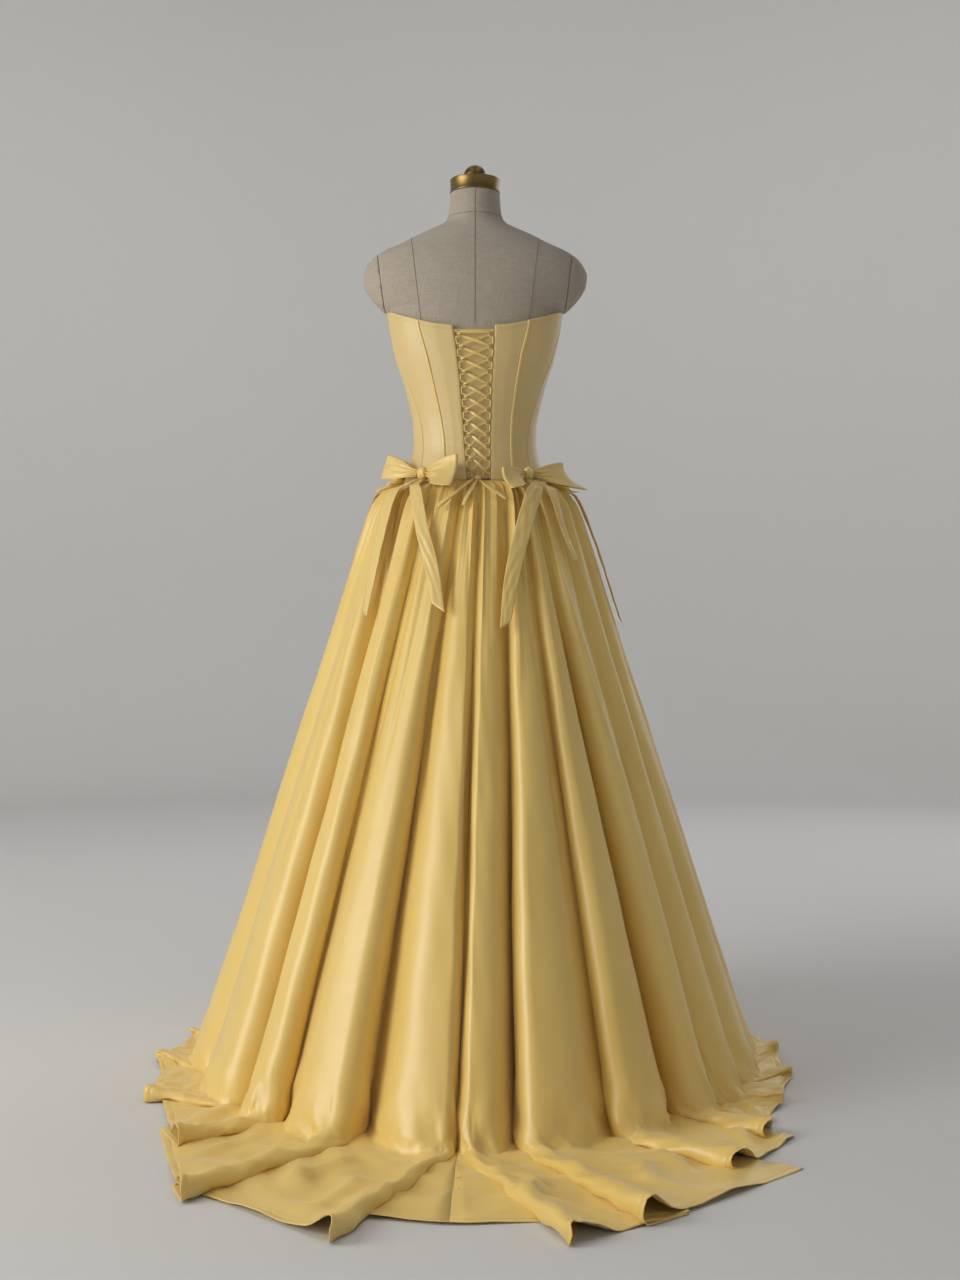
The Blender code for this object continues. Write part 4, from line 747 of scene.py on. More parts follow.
def skirt_columns(sizes):
    """All columns round the skirt: centre back, wearer's left, centre front, wearer's right."""
    left, left_marks = half_columns(1, LEFT_FOLDS, sizes, FRONT_FOLDS[0])
    right, right_marks = half_columns(-1, RIGHT_FOLDS, sizes, FRONT_FOLDS[1])
    end = {"hip": oval(180.0, *skirt_size(HIP_Z), out=-HIP_RISE),
           "floor": oval(180.0, *SKIRT_FLOOR, out=-LEFT_FOLDS[-1][4]),
           "hem": hem_point(180.0, FRONT_FOOT[3]), "az": 180.0, "lift": 0.0, "phase": 3.0 * len(LEFT_FOLDS)}
    ring = {k: np.concatenate([left[k], np.asarray([end[k]]), right[k][:0:-1]]) for k in end}
    count = len(ring["az"])
    marks = (0, left_marks[SIDE_FOLDS[0]], left_marks[FRONT_FOLDS[0]], count - right_marks[FRONT_FOLDS[1]],
             count - right_marks[SIDE_FOLDS[1]], count)
    return ring, marks


def gather_depth(z):
    """Depth of the gathers at a height, deepest just under the waist seam."""
    return np.interp(z, (0.66, 0.80, 0.92, 1.00, 1.03, 1.05, WAIST_SEAM_Z),
                     (0.0, 0.0014, 0.0046, 0.0068, 0.0070, 0.0052, 0.0014))


def cone_xy(ring, z):
    """Place of all columns at a height, or each at its own."""
    return ring["hip"] + (ring["floor"] - ring["hip"]) * ((HIP_Z - z) / HIP_Z)


def cone_points(ring, z):
    """Points of all columns at one height between the waist seam and the bend near the floor."""
    xy = cone_xy(ring, z)
    if z > HIP_Z:
        seam = oval(ring["az"], *bodice_ring(WAIST_RING_Z), out=0.0008)
        xy = seam + (xy - seam) * float(waist_join(z))
    return np.concatenate([xy, np.full((len(xy), 1), z)], axis=1)


def blur_ring(points, sigma):
    """Rounds a closed ring of points along itself."""
    reach = int(3 * sigma) + 1
    kernel = np.exp(-0.5 * (np.arange(-reach, reach + 1) / sigma) ** 2)
    kernel /= kernel.sum()
    out = np.zeros_like(points)
    for k, weight in zip(range(-reach, reach + 1), kernel):
        out += weight * np.roll(points, k, axis=0)
    return out


def skirt_grid(sizes):
    """Face of the skirt: rows down the cloth, columns round it."""
    ring, marks = skirt_columns(sizes)
    upper = np.concatenate([np.linspace(*heights) for heights in UPPER_ROWS])
    rows = [cone_points(ring, z) for z in upper]
    rest = sizes.cloth_wall + 0.0006
    lift = (rest + 0.35 * ring["lift"])[:, None]
    start = cone_points(ring, BREAK_Z)
    corner = np.concatenate([cone_xy(ring, lift), lift], axis=1)
    span = ring["hem"] - corner[:, :2]
    length = np.linalg.norm(span, axis=1)
    turn = corner[:, :2] + span * np.minimum(0.5, BEND_REACH / length)[:, None]
    landing = np.concatenate([turn, lift], axis=1)
    for k in range(BEND_STEPS):
        w = k / (BEND_STEPS - 1)
        rows.append((1 - w) ** 2 * start + 2 * w * (1 - w) * corner + w * w * landing)
    run = np.linalg.norm(ring["hem"] - turn, axis=1)
    shares = [k / FLOOR_STEPS * (1 - FLOOR_END / run) for k in range(1, FLOOR_STEPS + 1)]
    for w in shares + [1 - back / run for back in HEM_BACK]:
        xy = turn + (ring["hem"] - turn) * w[:, None]
        height = rest + ring["lift"] * (0.35 + 0.65 * w ** 1.6)
        rows.append(np.concatenate([xy, height[:, None]], axis=1))
    return np.array([blur_ring(row, ROUNDING) for row in rows]), ring, marks


def crease_field(grid, strength):
    """Depth of the placed creases at each point, along the cloth's normal."""
    az = np.degrees(np.arctan2(grid[..., 0], grid[..., 1]))
    reach = np.hypot(grid[..., 0], grid[..., 1])
    z = grid[..., 2]
    depth = np.zeros(z.shape)
    for az_high, az_low, high, low, width, deep in CREASES:
        t = (high - z) / (high - low)
        line = az_high + (az_low - az_high) * np.clip(t, 0, 1)
        off = np.radians((az - line + 180) % 360 - 180) * reach
        taper = np.clip(np.minimum(t, 1 - t) * 4, 0, 1)
        depth -= deep * strength * np.exp(-(off / width) ** 2) * taper ** 2 * (3 - 2 * taper)
    return depth


def pucker_field(grid, strength):
    """Height of the puckers on the train at each point."""
    depth = np.zeros(grid.shape[:2])
    low = np.clip((0.12 - grid[..., 2]) / 0.05, 0, 1)
    for az0, r0, az1, r1, width, high in PUCKERS:
        a, b = hem_point(az0, r0), hem_point(az1, r1)
        line = b - a
        rel = grid[..., :2] - a
        t = (rel @ line) / (line @ line)
        off = np.linalg.norm(rel - np.clip(t, 0, 1)[..., None] * line, axis=-1)
        taper = np.clip(1 - np.abs(2 * t - 1), 0, 1)
        depth += PUCKER_SCALE * high * strength * np.exp(-(off / width) ** 2) * np.sqrt(taper) * low
    return depth


def skirt_normals(grid):
    """Normals of the skirt's face, away from its axis."""
    out = grid_normals(grid, around=True)
    outward = (out[MIDDLE_ROW, :, :2] * grid[MIDDLE_ROW, :, :2]).sum() >= 0
    return out if outward else -out


def drape(grid, ring, sizes):
    """Adds the gathers, creases and unevenness of real cloth to the skirt's smooth face."""
    out = skirt_normals(grid)
    count = grid.shape[1]
    along = np.cumsum(np.linalg.norm(np.diff(grid, axis=0, prepend=grid[:1]), axis=2), axis=0)
    # Three gathers to a fold, each with its own depth and length; the right half has the second 40 of them.
    phase = ring["phase"]
    sway = np.random.default_rng(11)
    strength = sway.uniform(0.45, 1.35, 80)
    stretch = sway.uniform(0.75, 1.30, 80)
    which = (np.floor(phase).astype(int) + np.where(ring["az"] < 0, 40, 0)) % 80
    pleat = 1.0 - 2.0 * np.abs(np.sin(np.pi * phase)) ** 0.8
    pleat = 0.62 * (pleat + 0.12 * np.cos(6 * np.pi * phase + ring["az"] / 9))
    z = grid[..., 2]
    faded = WAIST_SEAM_Z - (WAIST_SEAM_Z - z) * stretch[which][None, :]
    blend = blur_ring(strength[which][:, None], 2.0)[:, 0]
    depth = gather_depth(faded) * blend[None, :] * pleat[None, :] * sizes.gather
    depth[0] *= 0.3
    girth = np.arange(count)[None, :] / count
    body = np.clip((1.04 - z) / 0.12, 0, 1)
    depth = depth + 0.0016 * sizes.crease * body * waves(22 * girth, along / 0.55, 3)
    depth += 0.0007 * sizes.crease * body * waves(60 * girth, along / 0.22, 5)
    floor = np.clip((0.10 - z) / 0.07, 0, 1)
    depth += crease_field(grid, sizes.crease)
    depth += pucker_field(grid, sizes.crease)
    depth += 0.0056 * sizes.crease * floor * (waves(58 * girth, along / 0.085, 8) + 0.5)
    depth += 0.0014 * sizes.crease * floor * waves(160 * girth, along / 0.030, 9)
    # The hem is turned up twice: a shallow line shows where its stitches pull the cloth in.
    depth[HEM_STITCH_ROW] -= 0.0006
    moved = grid + out * depth[..., None]
    rest = 0.0004 + sizes.cloth_wall
    moved[..., 2] = np.maximum(moved[..., 2], np.minimum(rest, grid[..., 2]))
    return moved


def build_skirt(sizes, satin, thread):
    """Five gathered panels cut from one draped face, and the stitches of the hem."""
    grid, ring, marks = skirt_grid(sizes)
    grid = drape(grid, ring, sizes)
    out = skirt_normals(grid)
    # The top row's wall is level, so that the skirt meets the bodice flat.
    out[0] = np.cross(np.cross(out[0], (0, 0, 1.0)), (0, 0, -1.0))
    out[0] /= np.linalg.norm(out[0], axis=1, keepdims=True)
    inner = grid - out * sizes.cloth_wall
    inner[..., 2] = np.maximum(inner[..., 2], 0.0003)
    count = grid.shape[1]
    names = ("skirt_back_left", "skirt_side_left", "skirt_front", "skirt_side_right", "skirt_back_right")
    hems = []
    for name, first, last in zip(names, marks[:-1], marks[1:]):
        picks = [k % count for k in range(first, last + 1)]
        face, back = grid[:, picks].copy(), inner[:, picks].copy()
        for layer in (face, back):
            for end, inside in ((0, 1), (-1, -2)):
                way = layer[:, inside] - layer[:, end]
                layer[:, end] += 0.5 * SEAM_GAP * way / np.linalg.norm(way, axis=1, keepdims=True)
        add_piece(name + "_satin", wall_mesh(face, back), satin, [name])
        hems.append(face[HEM_STITCH_ROW] + out[HEM_STITCH_ROW, picks] * 0.0001)
    along_paths("hem_stitches", hems, "stitches_along_path", {"Pitch": sizes.stitch, "Thread": 0.00035},
                thread)


# Bodice

def panel_grid(from_seam, to_seam, columns):
    """Grid of azimuths and heights between two seams, from the top edge down to the waist seam."""
    t = np.linspace(0, 1, PANEL_ROWS)[:, None]
    u = np.linspace(0, 1, columns)[None, :]
    # The seams' azimuth and the top edge's height hang on each other, so both are found in a few rounds.
    z = np.full((PANEL_ROWS, columns), 1.20)
    for _ in range(6):
        a, b = seam_az(*from_seam, z), seam_az(*to_seam, z)
        az = a + (b - a) * u
        z = BOTTOM_Z + (top_edge(az) - BOTTOM_Z) * (1 - t)
    pull = np.degrees(0.5 * SEAM_GAP / bodice_ring(z)[0]) * np.sign(b - a)
    az = az + pull * np.where(u == 0, 1.0, np.where(u == 1, -1.0, 0.0))
    return az, z


def panel_relief(az, z, from_seam, to_seam, seed):
    """Small relief of a boned panel: seams pressed in, bones standing beside them, soft drag lines."""
    a, b = seam_az(*from_seam, z), seam_az(*to_seam, z)
    half_width = bodice_ring(z)[0]
    left, right = np.radians(np.abs(az - a)) * half_width, np.radians(np.abs(b - az)) * half_width
    depth = np.zeros(z.shape)
    for off in (left, right):
        depth -= 0.0008 * np.exp(-(off / 0.0012) ** 2)
        depth += 0.0003 * np.exp(-((off - 0.006) / 0.0035) ** 2)
    middle = np.abs(left - right) / 2
    depth += 0.0002 * np.exp(-(middle / 0.0040) ** 2)
    waist = np.exp(-((z - 1.135) / 0.030) ** 2)
    depth += 0.0006 * waist * waves(az / 60, z / 0.016, seed)
    depth += 0.0003 * waves(az / 40, z / 0.09, seed + 1)
    # A rolled top edge, with its stitches in a shallow line under it.
    below = top_edge(az) - z
    depth += 0.0005 * np.exp(-((below - 0.0035) / 0.0035) ** 2)
    depth -= 0.0005 * np.exp(-((below - TOP_STITCH) / 0.0010) ** 2)
    return depth


def bodice_panels():
    """Name, first and second seam and mesh columns of each bodice panel."""
    lace_l, lace_r = (LACE_EDGE_LEFT, True, 1), (LACE_EDGE_RIGHT, True, 1)
    princess_l, princess_r = (PRINCESS_LEFT, True, 1), (PRINCESS_RIGHT, True, 1)
    side_l, side_r = (SIDE_SEAM_DEG, False, 1), (SIDE_SEAM_DEG, False, -1)
    front_l, front_r = (FRONT_SEAM_DEG, False, 1), (FRONT_SEAM_DEG, False, -1)
    front_far = ([360.0 - v for v in FRONT_SEAM_DEG], False, 1)
    return (("bodice_back_left", lace_l, princess_l, BACK_COLUMNS),
            ("bodice_back_right", princess_r, lace_r, BACK_COLUMNS),
            ("bodice_side_back_left", princess_l, side_l, BACK_COLUMNS),
            ("bodice_side_back_right", side_r, princess_r, BACK_COLUMNS),
            ("bodice_side_front_left", side_l, front_l, FRONT_COLUMNS),
            ("bodice_side_front_right", front_r, side_r, FRONT_COLUMNS),
            ("bodice_front", front_l, front_far, FRONT_COLUMNS))


def build_bodice(sizes, satin, ribbon, thread):
    """The boned panels with their top edge's stitches, the casings and the modesty panel."""
    tops = []
    for k, (name, from_seam, to_seam, columns) in enumerate(bodice_panels()):
        az, z = panel_grid(from_seam, to_seam, columns)
        relief = panel_relief(az, z, from_seam, to_seam, 20 + k)
        face = bodice_points(az, z, relief)
        back = bodice_points(az, z, -sizes.bodice_wall)
        add_piece(name + "_satin", wall_mesh(face, back), satin, [name])
        tops.append(bodice_points(az[0], top_edge(az[0]) - TOP_STITCH, 0.0002))
    along_paths("top_edge_stitches", tops, "stitches_along_path", {"Pitch": 0.0035, "Thread": 0.00028},
                thread)
    build_casings(ribbon, thread)
    build_modesty_panel(satin)


def build_casings(ribbon, thread):
    """Satin casing over each back princess seam, crowned by the bone inside it."""
    lines, half, count = [], 0.0030, 90
    for name, values in (("seam_casing_left", PRINCESS_LEFT), ("seam_casing_right", PRINCESS_RIGHT)):
        t = np.linspace(0, 1, count)
        z = np.full(count, 1.20)
        for _ in range(6):
            az = seam_az(values, True, 1, z)
            z = (BOTTOM_Z + 0.001) + (top_edge(az) - 0.001 - BOTTOM_Z - 0.001) * (1 - t)
        x = np.interp(z, SEAM_Z, values)
        off = np.linspace(half, -half, 9)
        crown = 0.0010 * (1 - (off / half) ** 2) ** 0.6 + 0.0009
        across, down = x[:, None] + off[None, :], np.repeat(z[:, None], 9, axis=1)
        face, base = back_point(across, down, crown[None, :]), back_point(across, down, 0.0004)
        add_piece(name + "_satin", wall_mesh(face, base), ribbon, [name])
        for shift in (0.0022, -0.0022):
            lines.append(back_point(x + shift, z, 0.0015)[2:-2])
    along_paths("casing_stitches", lines, "stitches_along_path", {"Pitch": 0.0032, "Thread": 0.00025}, thread)


def build_modesty_panel(satin):
    """Panel behind the lacing, a little wider than the gap, with soft drag lines."""
    rows, columns, top, bottom, overlap, wall = 80, 25, 1.334, 1.062, 0.016, 0.0012
    z = (bottom + (top - bottom) * np.linspace(1, 0, rows))[:, None].repeat(columns, axis=1)
    left, right = lacing_edge(1, z) + overlap, lacing_edge(-1, z) - overlap
    x = left + (right - left) * np.linspace(0, 1, columns)[None, :]
    relief = 0.0005 * waves(x / 0.04, z / 0.10, 31)
    face = back_point(x, z, -MODESTY_DEPTH + relief)
    back = back_point(x, z, -MODESTY_DEPTH - wall + relief)
    add_piece("modesty_panel_satin", wall_mesh(face, back), satin,
              ["modesty_panel"])


# Lacing

def lacing_edge(side, z):
    """x of the bodice's left (1) or right (-1) lacing edge."""
    return np.interp(z, SEAM_Z, LACE_EDGE_LEFT if side > 0 else LACE_EDGE_RIGHT)


def loop_point(side, row, reach, rise, out):
    """Point at a loop: its reach into the gap, its rise over the loop's middle, how far it stands out."""
    z = LOOP_TOP_Z - LOOP_PITCH * row + rise
    return back_point(lacing_edge(side, z) - side * reach, z, out)


def build_loops(sizes, ribbon):
    """One rouleau a side, folded into loops that stand out of the lacing edge into the gap."""
    shape = ((-0.0078, 0.0023), (-0.0052, 0.0032), (-0.0044, 0.0080), (0.0, 0.0104),
             (0.0044, 0.0080), (0.0052, 0.0032), (0.0078, 0.0023))
    for name, side in (("loop_strip_left", 1), ("loop_strip_right", -1)):
        path = [loop_point(side, row, reach, rise, 0.0)
                for row in range(LOOP_ROWS) for rise, reach in shape[::-1]]
        along_paths(name + "_rouleau", [path_curve(path, 4)], "tube_along_path",
                    {"Radius": sizes.loop_radius, "Sides": 10}, ribbon, [name])


def lace_turn(side, row):
    """Points of the lace over, through and under one loop."""
    over, under = 0.0028, -0.0023
    return [loop_point(side, row, r, v, w) for r, v, w in (
        (0.0150, 0.0034, over), (0.0106, 0.0012, over), (0.0078, 0.0005, 0.0018), (0.0066, 0.0, -0.0001),
        (0.0078, -0.0005, -0.0018), (0.0106, -0.0012, under), (0.0150, -0.0034, under))]


def lace_run(first_side):
    """One run of the lace from the top to the waist, and the side it ends on."""
    points, side = [], first_side
    for row in range(LOOP_ROWS):
        points += lace_turn(side, row)
        if row < LOOP_ROWS - 1:
            middle = (loop_point(side, row, 0.0140, 0.0, 0.0)
                      + loop_point(-side, row + 1, 0.0140, 0.0, 0.0)) / 2
            above = (row + (first_side > 0)) % 2
            points.append(back_point(middle[0], middle[2], 0.0024 if above else 0.0003))
        side = -side
    return points, -side


def build_lace(sizes, ribbon):
    """One flat satin lace, criss-crossed through the loops and tied at the waist."""
    left, end_left = lace_run(1)
    right, end_right = lace_run(-1)
    knot_x, knot_z = LACE_KNOT
    tails = [[back_point(knot_x + end * 0.0125, knot_z + 0.0035, 0.0004),
              back_point(knot_x + end * 0.0072, knot_z + 0.0012, 0.0044)] for end in (end_left, end_right)]
    top = [back_point(0.0125, LOOP_TOP_Z + 0.0035, 0.0030), back_point(-0.0115, LOOP_TOP_Z + 0.0035, 0.0030)]
    path = path_curve(tails[0][::-1] + left[::-1] + top + right + tails[1], 5)
    # The lace is pinched where it goes through a loop.
    edge = np.minimum(np.abs(path[:, 0] - (lacing_edge(1, path[:, 2]) - LOOP_REACH)),
                      np.abs(path[:, 0] - (lacing_edge(-1, path[:, 2]) + LOOP_REACH)))
    width = LACE_THROAT + (sizes.lace_width - LACE_THROAT) * np.minimum(1.0, edge / 0.010)
    tangent = np.gradient(path, axis=0)
    tangent /= np.linalg.norm(tangent, axis=1, keepdims=True)
    side = np.array((0.0, 0.0, 1.0)) - tangent[:, 2:] * tangent
    side /= np.linalg.norm(side, axis=1, keepdims=True)
    out = np.cross(tangent, side)
    v = np.linspace(-1, 1, 7)
    roll = 0.0005 * (1 - v ** 2)[None, :] * np.where(out[:, 1:2] > 0, 1, -1)
    grid = path[:, None] + side[:, None] * (0.5 * width[:, None] * v[None, :])[..., None] \
        + out[:, None] * roll[..., None]
    add_piece("lace_satin", sheet_mesh(grid, LACE_WALL), ribbon, ["lace"])


# Bows and ribbon

def garment_point(az, z, clear):
    """Point at a clearance over the smooth skirt or bodice, whichever is at that height."""
    az, z = np.asarray(az, float), np.asarray(z, float)
    join = waist_join(z)
    low = [w + (s - w) * join for w, s in zip(bodice_ring(WAIST_RING_Z), (*skirt_size(z), 2.0))]
    above = z >= WAIST_SEAM_Z
    rings = [np.where(above, h, w) for h, w in zip(bodice_ring(z), low)]
    gather = np.where(above, 0.0, 0.7 * gather_depth(z))
    xy = oval(az, *rings, out=clear + gather)
    return np.concatenate([xy, z[..., None]], axis=-1)


def knot_gap(grid, end, wall, tree):
    """Least distance from a ribbon's end to its knot, negative inside the knot."""
    inner = 1 if end == 0 else -2
    normal = grid_normals(grid)
    least = 1.0
    for side in (-0.5, 0.5):
        layer = grid + normal * wall * side
        for u in np.linspace(0.0, 1.0, 7):
            for point in layer[end] * (1 - u) + layer[inner] * u:
                near, face_normal, _, distance = tree.find_nearest(tuple(map(float, point)))
                inside = (point - np.array(near)).dot(np.array(face_normal)) < 0
                least = min(least, -distance if inside else distance)
    return least


def seat_end(grid, end, wall, knot):
    """Moves a ribbon's end row towards its knot until it just touches its folds."""
    points = [v.co for v in knot.data.vertices]
    tree = BVHTree.FromPolygons(points, [p.vertices[:] for p in knot.data.polygons])
    start = grid[end].copy()
    pull = np.mean([p[:] for p in points], axis=0) - start.mean(axis=0)
    low, high = 0.0, 1.0
    for _ in range(14):
        share = (low + high) / 2
        grid[end] = start + share * pull
        if knot_gap(grid, end, wall, tree) > 0.0002:
            low = share
        else:
            high = share
    grid[end] = start + low * pull


def knot_mesh(centre, radii, az, wraps):
    """Wrapped band of a bow: a rounded lump with folds running round it."""
    rows, cols = 26, 40
    a = np.pi * np.linspace(0.02, 0.98, rows)[:, None]
    b = 2 * np.pi * np.arange(cols)[None, :] / cols
    body = np.stack([np.cos(a) + 0 * b, np.sin(a) * np.cos(b), np.sin(a) * np.sin(b)], axis=-1)
    crimp = 1 + 0.075 * np.sin(a) * np.cos(wraps * np.pi * np.cos(a)) + 0.03 * waves(b / 3, a, 7)
    body = body * crimp[..., None] * np.array(radii)
    x, y, z = (body[..., k] for k in range(3))
    c, s = math.cos(math.radians(az)), math.sin(math.radians(az))
    verts = np.stack([c * x + s * y, -s * x + c * y, z], axis=-1) + centre
    return poly_mesh(verts.reshape(-1, 3), capped_faces(rows, cols))


def ribbon_grid(rows, per_span, across):
    """Fine grid through the control rows of a ribbon."""
    rows = np.asarray(rows, float)
    fine = path_curve(rows.reshape(len(rows), -1), per_span).reshape(-1, rows.shape[1], 3)
    v = np.linspace(0, 1, across)
    if rows.shape[1] == 2:
        return fine[:, :1] + (fine[:, 1:] - fine[:, :1]) * v[None, :, None]
    a, b, c = fine[:, 0, None], fine[:, 1, None], fine[:, 2, None]
    v = v[None, :, None]
    return a * (1 - v) * (1 - 2 * v) + b * 4 * v * (1 - v) + c * v * (2 * v - 1)


def pleated(grid, pleats, depth, fade, ends=(0,), seed=1):
    """Folds that spring from the knot and fade along the ribbon."""
    out = grid_normals(grid)
    rows, cols = grid.shape[:2]
    along = np.cumsum(np.linalg.norm(np.diff(grid, axis=0, prepend=grid[:1]), axis=2), axis=0).mean(axis=1)
    v = np.linspace(0, 1, cols)[None, :]
    near = np.zeros(rows)
    if 0 in ends:
        near += np.exp(-(along / fade) ** 2)
    if -1 in ends:
        near += np.exp(-((along[-1] - along) / fade) ** 2)
    wave = np.cos(2 * np.pi * pleats * v + 0.6 * np.sin(9 * v + seed))
    relief = depth * near[:, None] * wave
    relief += 0.0008 * waves(v * 1.5, along[:, None] / 0.06, seed)
    return grid + out * relief[..., None]


# A bow's loop, out and back: share of its reach, clearance, share of its height.
BOW_LOOP = (
    (0.0, 0.0060, 0.28), (0.22, 0.0135, 0.56), (0.50, 0.0180, 0.90), (0.80, 0.0200, 1.10),
    (0.97, 0.0185, 1.16), (1.02, 0.0120, 1.14), (0.96, 0.0065, 1.08), (0.70, 0.0020, 0.90),
    (0.35, 0.0014, 0.56), (0.0, 0.0020, 0.26),
)


def bow_loop(name, knot, knot_az, knot_z, end_az, end_z, height, ribbon, wall, seed):
    """One loop of a bow, from its knot out to its end and back."""
    start = math.copysign(5.4, end_az - knot_az)
    rows = []
    for reach, clear, wide in BOW_LOOP:
        az = knot_az + start + (end_az - knot_az - start) * reach
        z = knot_z + (end_z - knot_z) * reach
        off = 0.0045 + clear + STAND_OUT * max(0.0, math.cos(math.radians(knot_az))) * reach ** 2
        half = 0.5 * height * wide
        rows.append([garment_point(az, z + half, off), garment_point(az, z, off + 0.0015),
                     garment_point(az, z - half, off)])
    grid = np.array(rows)
    for end in (0, -1):
        seat_end(grid, end, wall, knot)
    grid = pleated(ribbon_grid(grid, 7, 29), 3.5, 0.0024, 0.034, (0, -1), seed)
    add_piece(name + "_ribbon", sheet_mesh(grid, wall), ribbon, [name])


def bow_tail(name, knot, points, ribbon, wall, seed, cut):
    """One tail of a bow: over the knot's lower edge, then down the skirt to its slanting cut."""
    first, second = points[0], points[1]
    over = (first[0] + 0.35 * (second[0] - first[0]), 1.0500, 0.5 * (first[2] + second[2]), 0.012)
    points = (first, over) + tuple(points[1:])
    rows = []
    for k, (az, z, width, clear) in enumerate(points):
        radius = float(np.hypot(*garment_point(az, z, clear)[:2]))
        swing = math.degrees(0.5 * width / radius)
        slant = cut if k == len(points) - 1 else 0.0
        rows.append([garment_point(az - swing, z - slant, clear), garment_point(az, z, clear + 0.0008),
                     garment_point(az + swing, z + slant, clear)])
    grid = np.array(rows)
    seat_end(grid, 0, wall, knot)
    grid = pleated(ribbon_grid(grid, 14, 13), 1.5, 0.0014, 0.035, (0,), seed)
    add_piece(name + "_ribbon", sheet_mesh(grid, wall), ribbon, [name])


# name, azimuth and height of the knot, then its loops (name, end azimuth, end height, ribbon height) and
# tails (name, cut, points of azimuth, height, width and clearance).
BOWS = (
    ("bow_back_left", 44.0, 1.0745,
     (("loop_outer", 80.0, 1.092, 0.038), ("loop_inner", 12.0, 1.072, 0.052)),
     (("tail_inner", 0.008, ((41.0, 1.0600, 0.010, 0.008), (34.0, 1.0400, 0.023, 0.012),
                             (25.0, 0.9700, 0.025, 0.009), (18.0, 0.9000, 0.025, 0.009),
                             (13.5, 0.8250, 0.025, 0.010))),
      ("tail_outer", 0.004, ((47.0, 1.0600, 0.010, 0.008), (50.0, 1.0350, 0.028, 0.012),
                             (49.0, 0.9700, 0.027, 0.009), (47.5, 0.8900, 0.022, 0.009),
                             (45.5, 0.8150, 0.014, 0.010))))),
    ("bow_back_right", -45.0, 1.0735,
     (("loop_outer", -81.0, 1.074, 0.044), ("loop_inner", -18.0, 1.058, 0.036)),
     (("tail_inner", -0.006, ((-42.0, 1.0590, 0.010, 0.008), (-33.0, 1.0350, 0.032, 0.012),
                              (-21.0, 0.9500, 0.030, 0.009), (-14.5, 0.8700, 0.026, 0.009),
                              (-11.0, 0.7950, 0.020, 0.010))),
      ("tail_outer", 0.0, ((-48.0, 1.0590, 0.010, 0.008), (-46.0, 1.0350, 0.018, 0.012),
                           (-45.5, 0.9700, 0.014, 0.009), (-49.0, 0.9120, 0.012, 0.009))))),
    ("bow_side_left", 108.0, 1.0735,
     (("loop_front", 134.0, 1.066, 0.040), ("loop_back", 93.0, 1.070, 0.040)),
     (("tail_front", 0.006, ((111.0, 1.0590, 0.010, 0.008), (116.0, 1.0350, 0.024, 0.012),
                             (118.0, 0.9500, 0.026, 0.009), (119.0, 0.8200, 0.026, 0.010))),
      ("tail_back", -0.006, ((105.0, 1.0590, 0.010, 0.008), (104.0, 1.0350, 0.024, 0.012),
                             (106.0, 0.9500, 0.026, 0.009), (106.0, 0.8300, 0.026, 0.010))))),
    ("bow_side_right", -110.0, 1.0735,
     (("loop_front", -135.0, 1.066, 0.040), ("loop_back", -94.0, 1.070, 0.040)),
     (("tail_front", 0.006, ((-113.0, 1.0590, 0.010, 0.008), (-118.0, 1.0350, 0.024, 0.012),
                             (-119.0, 0.9500, 0.026, 0.009), (-119.5, 0.8200, 0.026, 0.010))),
      ("tail_back", -0.006, ((-107.0, 1.0590, 0.010, 0.008), (-99.0, 1.0350, 0.024, 0.012),
                             (-94.0, 0.9500, 0.026, 0.009), (-91.0, 0.8050, 0.026, 0.010))))),
)


def build_bows(sizes, ribbon):
    """The four bows, each knot first, because its loops and tails are seated on it."""
    seed = 40
    for bow, az, z, loops, tails in BOWS:
        name = bow + "_knot"
        lump = knot_mesh(garment_point(az, z, 0.0095), (0.0108, 0.0082, 0.0120), az, 3.0)
        knot = add_piece(name + "_ribbon", lump, ribbon, [name])
        for part, end_az, end_z, height in loops:
            seed += 1
            bow_loop(f"{bow}_{part}", knot, az, z, end_az, end_z, height, ribbon, sizes.ribbon_wall, seed)
        for part, cut, points in tails:
            seed += 1
            bow_tail(f"{bow}_{part}", knot, points, ribbon, sizes.ribbon_wall, seed, cut)


